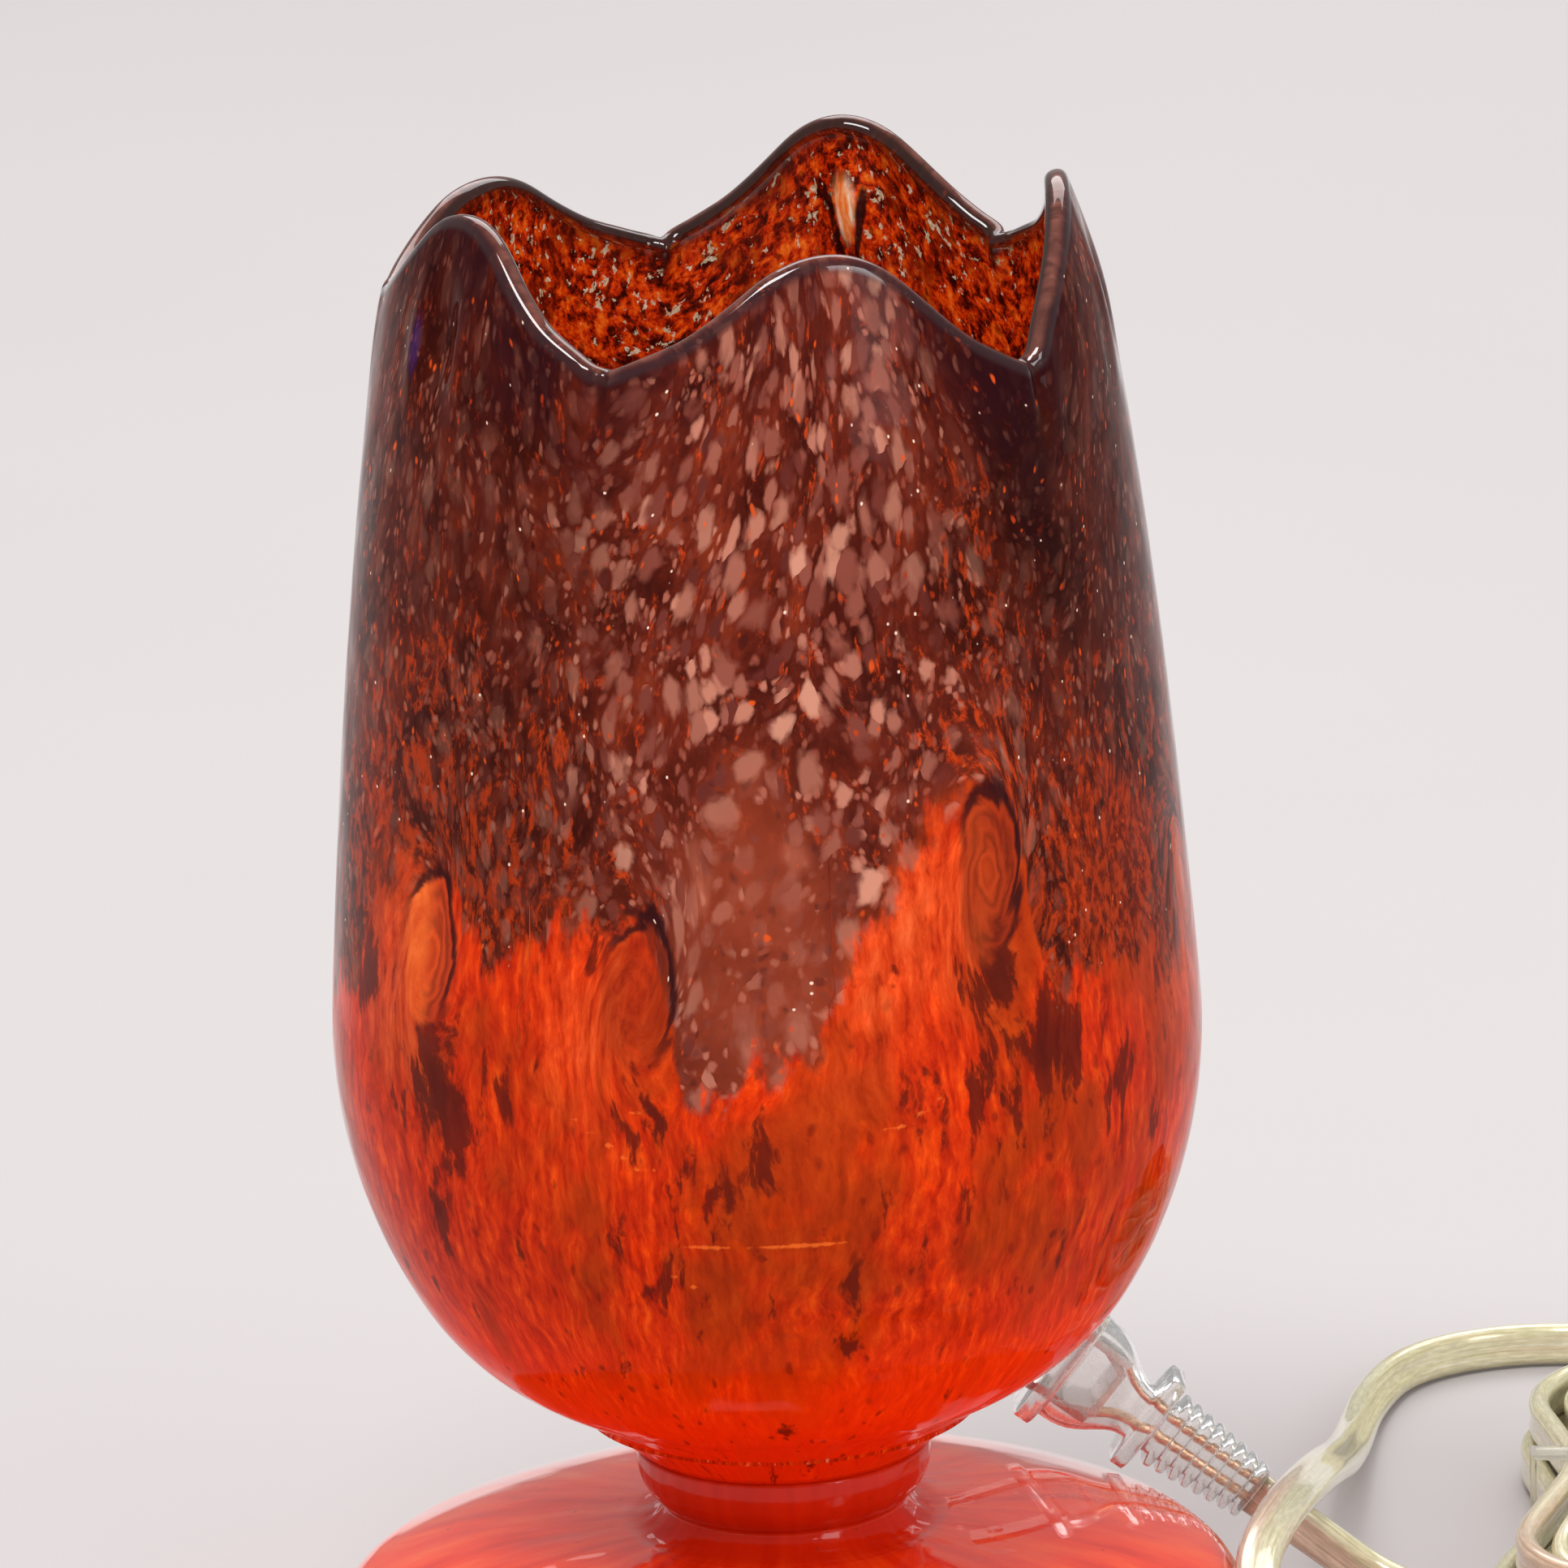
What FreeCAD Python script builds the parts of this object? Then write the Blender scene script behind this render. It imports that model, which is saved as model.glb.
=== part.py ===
"""Art glass table lamp: a blown tulip shade clamped on a squat glass base by a threaded tube.

Millimetres. The origin lies on the table under the lamp's axis, +Z is up and -Y is the front.
"""
import FreeCAD, Part
import math
import os

import Sketcher

os.makedirs("parts", exist_ok=True)
doc = FreeCAD.newDocument("ArtGlassLamp")

# Driving sizes

SIZES = {
    # Glass base: a squat bun with a short neck and a lip that carries the shade
    "foot_height": 6.5,
    "rim_radius": 57,
    "rim_land": 7,
    "belly_radius": 75,
    "belly_height": 28,
    "belly_lower_bulge": 5.2,
    "belly_upper_bulge": 1.25,
    "shoulder_radius": 68.5,
    "shoulder_height": 35.1,
    "shoulder_bulge": 1.1,
    "dome_radius": 40,
    "dome_height": 42.8,
    "neck_foot_radius": 26,
    "neck_foot_height": 44.4,
    "neck_foot_bulge": 1.5,
    "neck_radius": 19.7,
    "neck_height": 48.2,
    "neck_bead_bulge": 1.2,
    "lip_radius": 24,
    "lip_depth": 2,
    "crease_height": 58,
    "base_wall": 4.6,
    "neck_wall": 5.7,
    "neck_floor": 5,
    # Tulip shade, heights counted from its underside
    "glass_gap": 0.2,
    "shade_floor": 6,
    "shade_wall": 4,
    "shade_knuckle_radius": 41.1,
    "shade_knuckle_height": 12.1,
    "shade_hip_radius": 57.9,
    "shade_hip_height": 27.8,
    "shade_max_radius": 70.1,
    "shade_max_height": 77,
    "shade_collar_radius": 59.4,
    "shade_collar_height": 180.2,
    "shade_blank_radius": 49.2,
    "shade_blank_height": 217,
    "shade_flare_bulge": 0.7,
    "shade_knuckle_bulge": 1.55,
    "shade_hip_bulge": 3.9,
    "shade_side_bulge": 1.0,
    "shade_top_bulge": 1.2,
    "petal_tip_radius": 52,
    # Clamping stack on the threaded tube
    "tube_radius": 5,
    "tube_bore_radius": 4,
    "tube_clearance": 0.25,
    "neck_seal_radius": 18,
    "neck_seal_recess": 1,
    "shade_seal_radius": 15,
    "shade_seal_thickness": 1.5,
    "check_ring_radius": 16,
    "check_ring_thickness": 1.5,
    "lock_washer_radius": 9,
    "lock_washer_thickness": 1,
    "nut_across_flats": 14,
    "nut_thickness": 5,
    "tube_end_below_nut": 1.5,
    "bushing_flange_radius": 6,
    "bushing_flange_thickness": 1,
    "bushing_length": 7,
    "bushing_wall": 0.9,
    # Base plate, rim gasket and feet
    "plate_thickness": 1.2,
    "plate_margin": 0.5,
    "well_radius": 24,
    "well_foot_radius": 34.5,
    "well_height": 22,
    "rim_gasket_thickness": 1.5,
    "rim_gasket_width": 6,
    "foot_radius": 7.5,
    "foot_top_radius": 6.5,
    "foot_circle": 48,
    # Lamp holder
    "holder_height": 89,
    "cap_foot_radius": 12,
    "cap_radius": 17.5,
    "cap_height": 19,
    "cap_waist": 12,
    "cap_wall": 0.6,
    "cap_bushing_radius": 8,
    "cap_bushing_height": 7,
    "set_screw_radius": 1.5,
    "shell_radius": 16.7,
    "shell_height": 41,
    "shell_wall": 0.6,
    "shell_overlap": 3,
    "shell_bead": 0.8,
    "liner_wall": 0.6,
    "liner_gap": 0.1,
    "block_radius": 14.6,
    "block_height": 13,
    "screw_shell_radius": 13.9,
    "screw_shell_wall": 0.4,
    "screw_shell_height": 24,
    "contact_radius": 3,
    "contact_height": 3.4,
    "terminal_head_radius": 3,
    "terminal_head_height": 1.4,
    "terminal_shank_radius": 1.5,
    "lead_radius": 0.5,
    "lead_groove_depth": 0.9,
    # Bulb, heights counted from its bottom contact
    "bulb_radius": 29,
    "bulb_length": 104,
    "bulb_wall": 0.8,
    "bulb_neck_radius": 14.2,
    "bulb_neck_height": 31,
    "bulb_cap_radius": 13.1,
    "bulb_cap_height": 26,
    "bulb_cap_wall": 0.4,
    "bulb_button_radius": 4,
    "bulb_button_height": 1.2,
    "bulb_glass_ring_height": 3.2,
    "stem_radius": 4,
    "stem_height": 30,
    "filament_height": 62,
    "filament_half_width": 13,
    "filament_radius": 0.5,
    "support_radius": 0.35,
    # Cord, hank and tie
    "cord_diameter": 5.4,
    "hank_end": 62.5,
    "hank_lobe_centre": 34,
    "hank_lobe_half_width": 28,
    "hank_waist_half_width": 19,
    "hank_step": 6.2,
    "hank_low": 4.2,
    "hank_layer_rise": 7.8,
    "hank_waist_lift": 0.8,
    "tie_width": 5,
    "tie_thickness": 0.9,
    # In-line switch
    "switch_length": 58,
    "switch_width": 22,
    "switch_height": 15,
    "switch_wall": 2,
    "switch_corner": 6,
    "wheel_radius": 9.4,
    "wheel_offset": 3.3,
    "wheel_thickness": 5,
    "wheel_gap": 0.3,
    "axle_radius": 1.6,
    "axle_clearance": 0.06,
    "contact_bar_length": 10.4,
    "contact_bar_width": 3.2,
    "contact_bar_thickness": 1.2,
    "switch_screw_radius": 1.3,
    "switch_screw_head_radius": 2.6,
    "switch_screw_spread": 17,
    "switch_boss_radius": 3.4,
    "switch_cord_grip": 4,
    "bypass_offset": 8.4,
    "bypass_radius": 1.2,
    # Plug, counted from its face towards the cord
    "plug_length": 41.9,
    "plug_face_half_width": 11.8,
    "plug_face_half_depth": 6.6,
    "plug_face_thickness": 3.2,
    "plug_bell_half_width": 10.2,
    "plug_bell_half_depth": 5.8,
    "plug_bell_end": 18.1,
    "plug_neck_half_width": 6.2,
    "plug_neck_half_depth": 4.4,
    "plug_collar_half_width": 9.2,
    "plug_collar_half_depth": 5,
    "plug_collar_thickness": 3,
    "plug_relief_half_width": 4.6,
    "plug_relief_half_depth": 2.9,
    "plug_rib_half_width": 6.6,
    "plug_rib_half_depth": 4.4,
    "plug_rib_end_half_width": 5,
    "plug_rib_end_half_depth": 3.2,
    "plug_rib_count": 8,
    "plug_insert_length": 9.4,
    "plug_insert_half_width": 8.4,
    "plug_insert_half_depth": 4,
    "blade_spacing": 12.7,
    "blade_length": 17,
    "blade_thickness": 1.5,
    "hot_blade_width": 6.4,
    "neutral_blade_width": 7.9,
    "blade_hole_radius": 1.6,
    "conductor_radius": 0.9,
}

sheet = doc.addObject("Spreadsheet::Sheet", "Sizes")
for row, (alias, number) in enumerate(SIZES.items(), start=1):
    sheet.set(f"A{row}", alias.replace("_", " "))
    sheet.set(f"B{row}", str(number))
    sheet.setAlias(f"B{row}", alias)
doc.recompute()


class Size:
    """A number together with the spreadsheet formula that gives it."""

    def __init__(self, number, formula):
        self.number = number
        self.formula = formula

    def combine(self, other, sign, number):
        other = size(other)
        return Size(number(self.number, other.number), f"({self.formula} {sign} {other.formula})")

    def __add__(self, other):
        return self.combine(other, "+", lambda a, b: a + b)

    def __sub__(self, other):
        return self.combine(other, "-", lambda a, b: a - b)

    def __mul__(self, other):
        return self.combine(other, "*", lambda a, b: a * b)

    def __truediv__(self, other):
        return self.combine(other, "/", lambda a, b: a / b)

    def __radd__(self, other):
        return size(other) + self

    def __rsub__(self, other):
        return size(other) - self

    def __rmul__(self, other):
        return size(other) * self

    def __neg__(self):
        return Size(-self.number, f"(0 - {self.formula})")

    def __float__(self):
        return float(self.number)


def size(value):
    if isinstance(value, Size):
        return value
    return Size(value, f"({value:.9g})")


class Sheet:
    """Reads a driving size by its alias."""

    def __getattr__(self, alias):
        return Size(float(sheet.get(alias)), f"Sizes.{alias}")


S = Sheet()


def bind(feature, name, value):
    """Sets a property and ties it to the formula of its size."""
    value = size(value)
    owner = feature
    *path, last = name.split(".")
    if not path:
        setattr(owner, last, value.number)
    feature.setExpression(name, value.formula)


def place(feature, spot=(0, 0, 0), rotation=None):
    """Puts a feature at a spot whose three coordinates may be sizes."""
    numbers = [float(size(value)) for value in spot]
    turn = rotation or FreeCAD.Rotation()
    feature.Placement = FreeCAD.Placement(FreeCAD.Vector(*numbers), turn)
    for axis, value in zip("xyz", spot):
        if isinstance(value, Size):
            feature.setExpression(f"Placement.Base.{axis}", value.formula)
    return feature


# Outlines in a plane, drawn as sketches

class Outline:
    """A closed outline of straight and round stretches, each corner given by two sizes."""

    def __init__(self, *start):
        self.corners = [tuple(size(value) for value in start)]
        self.bulges = []

    def line(self, *corner):
        return self.arc(0, *corner)

    def arc(self, bulge, *corner):
        """A round stretch to the corner. A positive bulge stands out to the right of the way."""
        self.bulges.append(bulge)
        self.corners.append(tuple(size(value) for value in corner))
        return self

    def follow(self, other):
        """Goes on along another outline, from its first corner."""
        self.line(*other.corners[0])
        for bulge, corner in zip(other.bulges, other.corners[1:]):
            self.arc(bulge, *corner)
        return self

    def reversed(self):
        turned = Outline(*self.corners[-1])
        for bulge, corner in zip(self.bulges[::-1], self.corners[-2::-1]):
            turned.arc(0 if is_zero(bulge) else -size(bulge), *corner)
        return turned

    def middle(self, index):
        """The middle of a round stretch."""
        (ax, ay), (bx, by) = self.corners[index], self.corners[index + 1]
        dx, dy = float(bx) - float(ax), float(by) - float(ay)
        length = math.hypot(dx, dy)
        bulge = self.bulges[index]
        return ((ax + bx) / 2 + size(bulge) * (dy / length), (ay + by) / 2 - size(bulge) * (dx / length))

    def directions(self, index):
        """The angles of travel at the start and the end of a stretch."""
        (ax, ay), (bx, by) = self.corners[index], self.corners[index + 1]
        dx, dy = float(bx) - float(ax), float(by) - float(ay)
        chord = math.atan2(dy, dx)
        swing = 2 * math.atan2(2 * float(size(self.bulges[index])), math.hypot(dx, dy))
        return chord - swing, chord + swing

    def inset(self, wall):
        """The same outline moved to the left of the way by the wall."""
        count = len(self.corners)
        moved = []
        for index, (x, y) in enumerate(self.corners):
            angles = []
            if index > 0:
                angles.append(self.directions(index - 1)[1])
            if index < count - 1:
                angles.append(self.directions(index)[0])
            angle = sum(angles) / len(angles)
            moved.append((x - wall * math.sin(angle), y + wall * math.cos(angle)))
        inner = Outline(*moved[0])
        for bulge, corner in zip(self.bulges, moved[1:]):
            inner.arc(bulge, *corner)
        return inner


def is_zero(value):
    return not isinstance(value, Size) and value == 0


def fix_point(sketch, geometry, point, x, y):
    """Ties a sketch point to two sizes."""
    for kind, value, axis in (("DistanceX", x, -2), ("DistanceY", y, -1)):
        if abs(float(value)) < 1e-9:
            sketch.addConstraint(Sketcher.Constraint("PointOnObject", geometry, point, axis))
            continue
        index = sketch.addConstraint(Sketcher.Constraint(kind, -1, 1, geometry, point, float(value)))
        sketch.setExpression(f"Constraints[{index}]", value.formula)


def draw(sketch, outline):
    """Draws a closed outline into a sketch and ties every corner to its sizes."""
    corners = outline.corners
    bulges = list(outline.bulges)
    if len(corners) > len(bulges):
        bulges.append(0)
        outline = Outline(*corners[0])
        for bulge, corner in zip(bulges, corners[1:] + corners[:1]):
            outline.arc(bulge, *corner)
    count = len(corners)
    ends = []
    for index, bulge in enumerate(bulges):
        start = corners[index]
        end = corners[(index + 1) % count]
        first = FreeCAD.Vector(float(start[0]), float(start[1]), 0)
        last = FreeCAD.Vector(float(end[0]), float(end[1]), 0)
        if is_zero(bulge):
            geometry = sketch.addGeometry(Part.LineSegment(first, last))
            ends.append((geometry, 1, 2))
            continue
        middle = outline.middle(index)
        through = FreeCAD.Vector(float(middle[0]), float(middle[1]), 0)
        arc = Part.Arc(first, through, last)
        geometry = sketch.addGeometry(arc)
        starts_first = sketch.getPoint(geometry, 1).distanceToPoint(first) < 1e-6
        ends.append((geometry, 1, 2) if starts_first else (geometry, 2, 1))
        marker = sketch.addGeometry(Part.Point(through), True)
        fix_point(sketch, marker, 1, *middle)
        sketch.addConstraint(Sketcher.Constraint("PointOnObject", marker, 1, geometry))
    for index, (geometry, start, end) in enumerate(ends):
        following, following_start, _ = ends[(index + 1) % count]
        sketch.addConstraint(Sketcher.Constraint("Coincident", geometry, end, following, following_start))
        fix_point(sketch, geometry, start, *corners[index])


def origin_plane(body, role):
    return next(feature for feature in body.Origin.OriginFeatures if feature.Role == role)


def sketch_on(body, role, outline, name, lift=0):
    sketch = body.newObject("Sketcher::SketchObject", name)
    sketch.AttachmentSupport = [(origin_plane(body, role), "")]
    sketch.MapMode = "FlatFace"
    sketch.AttachmentOffset = FreeCAD.Placement(FreeCAD.Vector(0, 0, float(size(lift))), FreeCAD.Rotation())
    draw(sketch, outline)
    return sketch


def new_body(label):
    body = doc.addObject("PartDesign::Body", label)
    body.Label = label
    return body


def turned(label, *outlines):
    """A body turned about the lamp's axis from the first outline; the others are turned grooves."""
    body = new_body(label)
    for index, outline in enumerate(outlines):
        sketch = sketch_on(body, "XZ_Plane", outline, f"{label}_outline_{index}")
        kind = "PartDesign::Groove" if index else "PartDesign::Revolution"
        feature = body.newObject(kind, f"{label}_turn_{index}")
        feature.Profile = sketch
        feature.ReferenceAxis = (sketch, ["V_Axis"])
        feature.Angle = 360
    return body


def ring(label, inner, outer, bottom, top):
    """A flat ring about the axis."""
    return turned(label, Outline(inner, bottom).line(outer, bottom).line(outer, top).line(inner, top))


def padded(label, outline, height, role="XY_Plane", lift=0):
    """A body pushed up from an outline."""
    body = new_body(label)
    sketch = sketch_on(body, role, outline, f"{label}_outline", lift)
    pad = body.newObject("PartDesign::Pad", f"{label}_pad")
    pad.Profile = sketch
    bind(pad, "Length", height)
    return body


# Solids made of simple shapes

def cylinder(label, radius, height, spot=(0, 0, 0), rotation=None):
    feature = doc.addObject("Part::Cylinder", label)
    feature.Label = label
    bind(feature, "Radius", radius)
    bind(feature, "Height", height)
    return place(feature, spot, rotation)


def cone(label, bottom_radius, top_radius, height, spot=(0, 0, 0)):
    feature = doc.addObject("Part::Cone", label)
    feature.Label = label
    bind(feature, "Radius1", bottom_radius)
    bind(feature, "Radius2", top_radius)
    bind(feature, "Height", height)
    return place(feature, spot)


def box(label, low, high):
    """A box between two corners whose coordinates may be sizes."""
    feature = doc.addObject("Part::Box", label)
    feature.Label = label
    for name, a, b in zip(("Length", "Width", "Height"), low, high):
        bind(feature, name, size(b) - size(a))
    return place(feature, [size(value) for value in low])


def cut(label, base, *tools):
    if len(tools) > 1:
        tools = [fuse(f"{label}_tools", *tools)]
    feature = doc.addObject("Part::Cut", label)
    feature.Label = label
    feature.Base = base
    feature.Tool = tools[0]
    return feature


def fuse(label, *pieces):
    feature = doc.addObject("Part::MultiFuse", label)
    feature.Label = label
    feature.Shapes = list(pieces)
    return feature


def common(label, *pieces):
    feature = doc.addObject("Part::MultiCommon", label)
    feature.Label = label
    feature.Shapes = list(pieces)
    return feature


def group(label, *pieces):
    """Identical or related solids that share one node."""
    feature = doc.addObject("Part::Compound", label)
    feature.Label = label
    feature.Links = list(pieces)
    return feature


def rounded(label, base, edges, radius):
    """Rounds the edges of a solid that the test picks out."""
    doc.recompute()
    feature = doc.addObject("Part::Fillet", label)
    feature.Label = label
    feature.Base = base
    picked = [index for index, edge in enumerate(base.Shape.Edges, start=1) if edges(edge)]
    feature.Edges = [(index, float(radius), float(radius)) for index in picked]
    return feature


def hand_made(label, shape):
    """A solid whose shape comes straight from curves."""
    feature = doc.addObject("Part::Feature", label)
    feature.Label = label
    feature.Shape = shape
    return feature


PARTS = []


def keep(feature):
    """Marks a feature as a finished piece of the lamp."""
    PARTS.append(feature)
    return feature


# Levels of the clamping stack, from the table up

PLATE_BOTTOM = S.foot_height
GASKET_BOTTOM = PLATE_BOTTOM + S.plate_thickness
RIM_HEIGHT = GASKET_BOTTOM + S.rim_gasket_thickness
SHADE_BOTTOM = S.crease_height + S.glass_gap
SHADE_INSIDE = SHADE_BOTTOM + S.shade_floor
CHECK_RING_BOTTOM = SHADE_INSIDE + S.shade_seal_thickness
UPPER_WASHER_BOTTOM = CHECK_RING_BOTTOM + S.check_ring_thickness
UPPER_NUT_BOTTOM = UPPER_WASHER_BOTTOM + S.lock_washer_thickness
LOWER_WASHER_BOTTOM = S.well_height - S.lock_washer_thickness
LOWER_NUT_BOTTOM = LOWER_WASHER_BOTTOM - S.nut_thickness
TUBE_BOTTOM = LOWER_NUT_BOTTOM - S.tube_end_below_nut
BUSHING_BOTTOM = TUBE_BOTTOM - S.bushing_flange_thickness
TUBE_HOLE = S.tube_radius + S.tube_clearance


# Glass

def dome_outline():
    """The outside of the base from its ground rim to the foot of the neck."""
    return (
        Outline(S.rim_radius, RIM_HEIGHT)
        .arc(S.belly_lower_bulge, S.belly_radius, S.belly_height)
        .arc(S.belly_upper_bulge, S.shoulder_radius, S.shoulder_height)
        .arc(S.shoulder_bulge, S.dome_radius, S.dome_height)
        .line(S.neck_foot_radius, S.neck_foot_height)
    )


def glass_base():
    """A hollow squat bun, open below, with a waisted neck and a flat lip."""
    outside = dome_outline()
    inside = dome_outline().inset(S.base_wall).reversed()
    lip_bottom = S.crease_height - S.lip_depth
    cavity_radius = S.neck_radius - S.neck_wall
    cavity_top = S.crease_height - S.neck_seal_recess - S.neck_floor
    seal_recess = S.neck_seal_radius + 2 * S.tube_clearance
    recess_bottom = S.crease_height - S.neck_seal_recess
    land_radius = S.rim_radius - S.rim_land
    outline = outside
    outline.arc(-S.neck_foot_bulge, S.neck_radius, S.neck_height)
    outline.arc(S.neck_bead_bulge, S.lip_radius, lip_bottom)
    outline.line(S.lip_radius, S.crease_height)
    outline.line(seal_recess, S.crease_height)
    outline.line(seal_recess, recess_bottom)
    outline.line(TUBE_HOLE, recess_bottom)
    outline.line(TUBE_HOLE, cavity_top)
    outline.line(cavity_radius, cavity_top)
    outline.line(cavity_radius, S.neck_height - S.base_wall / 2)
    outline.follow(inside)
    outline.line(land_radius, RIM_HEIGHT + S.base_wall)
    outline.line(land_radius, RIM_HEIGHT)
    return keep(turned("glass_base", outline))


def shade_skin():
    """The outside of the shade from its knuckle up to the blank's top, before the petals are cut."""
    return (
        Outline(S.shade_knuckle_radius, SHADE_BOTTOM + S.shade_knuckle_height)
        .arc(S.shade_knuckle_bulge, S.shade_hip_radius, SHADE_BOTTOM + S.shade_hip_height)
        .arc(S.shade_hip_bulge, S.shade_max_radius, SHADE_BOTTOM + S.shade_max_height)
        .arc(S.shade_side_bulge, S.shade_collar_radius, SHADE_BOTTOM + S.shade_collar_height)
        .arc(S.shade_top_bulge, S.shade_blank_radius, SHADE_BOTTOM + S.shade_blank_height)
    )


# Each petal's tip: how far round it stands from the front, and its height above the shade's underside
PETAL_TIPS = ((15.5, 209.4), (87.5, 210.0), (159.5, 209.0), (231.5, 204.0), (303.5, 212.5))
# Each notch between two petals, the first one between the last petal and the first
PETAL_NOTCHES = ((-22.7, 191.7), (52.0, 186.0), (130.0, 190.4), (193.0, 187.0), (268.0, 193.4))


def petal_cutter(index):
    """What is cut away between two petals: a wedge with an S-shaped edge on each side of its notch."""
    azimuth, notch_height = PETAL_NOTCHES[index]
    tip_before = PETAL_TIPS[index - 1]
    tip_after = PETAL_TIPS[index]
    notch = SHADE_BOTTOM + notch_height
    top = SHADE_BOTTOM + S.shade_blank_height + 5
    overrun = 4
    sides = []
    for tip_azimuth, tip_height in (tip_before, tip_after):
        swing = math.radians((tip_azimuth - azimuth + 180) % 360 - 180)
        reach = S.petal_tip_radius * math.sin(swing)
        tip = SHADE_BOTTOM + tip_height
        sides.append((reach, tip, (notch + tip) / 2))
    (left, left_tip, left_middle), (right, right_tip, right_middle) = sides
    outline = (
        Outline(left - overrun, left_tip)
        .line(left, left_tip)
        .arc(-2.6, left / 2, left_middle)
        .arc(0.8, 0, notch)
        .arc(0.8, right / 2, right_middle)
        .arc(-2.6, right, right_tip)
        .line(right + overrun, right_tip)
        .line(right + overrun, top)
        .line(left - overrun, top)
    )
    inner = S.shade_blank_radius / 2
    body = padded(f"petal_cutter_{index}", outline, S.shade_max_radius, "XZ_Plane", inner)
    turn = FreeCAD.Rotation(FreeCAD.Vector(0, 0, 1), azimuth)
    body.Placement = FreeCAD.Placement(FreeCAD.Vector(0, 0, 0), turn)
    return body


def tulip_shade():
    """A blown tulip: a thick flat bottom, a round bowl and five pointed petals."""
    skin = shade_skin()
    inside = skin.inset(S.shade_wall).reversed()
    outline = Outline(S.lip_radius, SHADE_BOTTOM)
    outline.arc(-S.shade_flare_bulge, *skin.corners[0])
    for bulge, corner in zip(skin.bulges, skin.corners[1:]):
        outline.arc(bulge, *corner)
    outline.follow(inside)
    outline.arc(S.shade_flare_bulge * 2, S.check_ring_radius + 1, SHADE_INSIDE)
    outline.line(TUBE_HOLE, SHADE_INSIDE)
    outline.line(TUBE_HOLE, SHADE_BOTTOM)
    shade = turned("shade_blank", outline)
    last = len(PETAL_NOTCHES) - 1
    for index in range(last + 1):
        label = "tulip_shade" if index == last else f"shade_with_notch_{index}"
        shade = cut(label, shade, petal_cutter(index))
    return keep(shade)


# Hardware on the threaded tube

def hexagon_nut(label, bottom):
    """A hexagon nut with bevelled corners."""
    apothem = S.nut_across_flats / 2
    corner = apothem * (2 / math.sqrt(3))
    prism = doc.addObject("Part::Prism", f"{label}_prism")
    prism.Polygon = 6
    bind(prism, "Circumradius", corner)
    bind(prism, "Height", S.nut_thickness)
    place(prism, (0, 0, bottom))
    bevel = (S.nut_thickness / 8, corner - apothem)
    top = bottom + S.nut_thickness
    barrel = turned(
        f"{label}_barrel",
        Outline(0, bottom)
        .line(apothem, bottom)
        .line(apothem + bevel[1], bottom + bevel[0])
        .line(apothem + bevel[1], top - bevel[0])
        .line(apothem, top)
        .line(0, top),
    )
    blank = common(f"{label}_blank", prism, barrel)
    hole = cylinder(f"{label}_hole", S.tube_radius, S.nut_thickness, (0, 0, bottom))
    return cut(label, blank, hole)


def lock_washer(label, bottom):
    """A split spring washer."""
    whole = ring(f"{label}_ring", TUBE_HOLE, S.lock_washer_radius, bottom, bottom + S.lock_washer_thickness)
    half_slit = S.lock_washer_thickness / 2
    slit = box(
        f"{label}_slit",
        (0, -half_slit, bottom),
        (2 * S.lock_washer_radius, half_slit, bottom + S.lock_washer_thickness),
    )
    return cut(label, whole, slit)


def clamping_stack():
    keep(ring("neck_seal", TUBE_HOLE, S.neck_seal_radius, S.crease_height - S.neck_seal_recess, SHADE_BOTTOM))
    keep(ring("shade_seal", TUBE_HOLE, S.shade_seal_radius, SHADE_INSIDE, CHECK_RING_BOTTOM))
    keep(ring("check_ring", TUBE_HOLE, S.check_ring_radius, CHECK_RING_BOTTOM, UPPER_WASHER_BOTTOM))
    keep(group(
        "lock_washers",
        lock_washer("upper_washer", UPPER_WASHER_BOTTOM),
        lock_washer("lower_washer", LOWER_WASHER_BOTTOM),
    ))
    keep(group(
        "hex_nuts",
        hexagon_nut("upper_nut", UPPER_NUT_BOTTOM),
        hexagon_nut("lower_nut", LOWER_NUT_BOTTOM),
    ))
    tube_top = S.holder_height + S.cap_wall + S.cap_bushing_height
    keep(ring("threaded_tube", S.tube_bore_radius, S.tube_radius, TUBE_BOTTOM, tube_top))
    bushing_bore = S.tube_bore_radius - S.bushing_wall
    bushing_top = TUBE_BOTTOM + S.bushing_length
    keep(turned(
        "cord_bushing",
        Outline(bushing_bore, BUSHING_BOTTOM)
        .line(S.bushing_flange_radius, BUSHING_BOTTOM)
        .line(S.bushing_flange_radius, TUBE_BOTTOM)
        .line(S.tube_bore_radius, TUBE_BOTTOM)
        .line(S.tube_bore_radius, bushing_top)
        .line(bushing_bore, bushing_top),
    ))


def base_plate():
    """A pressed steel plate: a flange under the glass rim and a raised well for the nut."""
    lift = S.plate_thickness
    edge = S.rim_radius - S.plate_margin
    lean = S.plate_thickness * 0.6
    outline = (
        Outline(TUBE_HOLE, S.well_height)
        .line(S.well_radius, S.well_height)
        .line(S.well_foot_radius, PLATE_BOTTOM)
        .line(edge, PLATE_BOTTOM)
        .line(edge, GASKET_BOTTOM)
        .line(S.well_foot_radius + lean, GASKET_BOTTOM)
        .line(S.well_radius + lean, S.well_height + lift)
        .line(TUBE_HOLE, S.well_height + lift)
    )
    keep(turned("base_plate", outline))
    keep(ring("rim_gasket", edge - S.rim_gasket_width, edge, GASKET_BOTTOM, RIM_HEIGHT))
    feet = []
    for index in range(4):
        angle = math.radians(45 + 90 * index)
        spot = (S.foot_circle * math.cos(angle), S.foot_circle * math.sin(angle), 0)
        feet.append(cone(f"foot_{index}", S.foot_radius, S.foot_top_radius, S.foot_height, spot))
    keep(group("bumper_feet", *feet))


# Lamp holder

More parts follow.
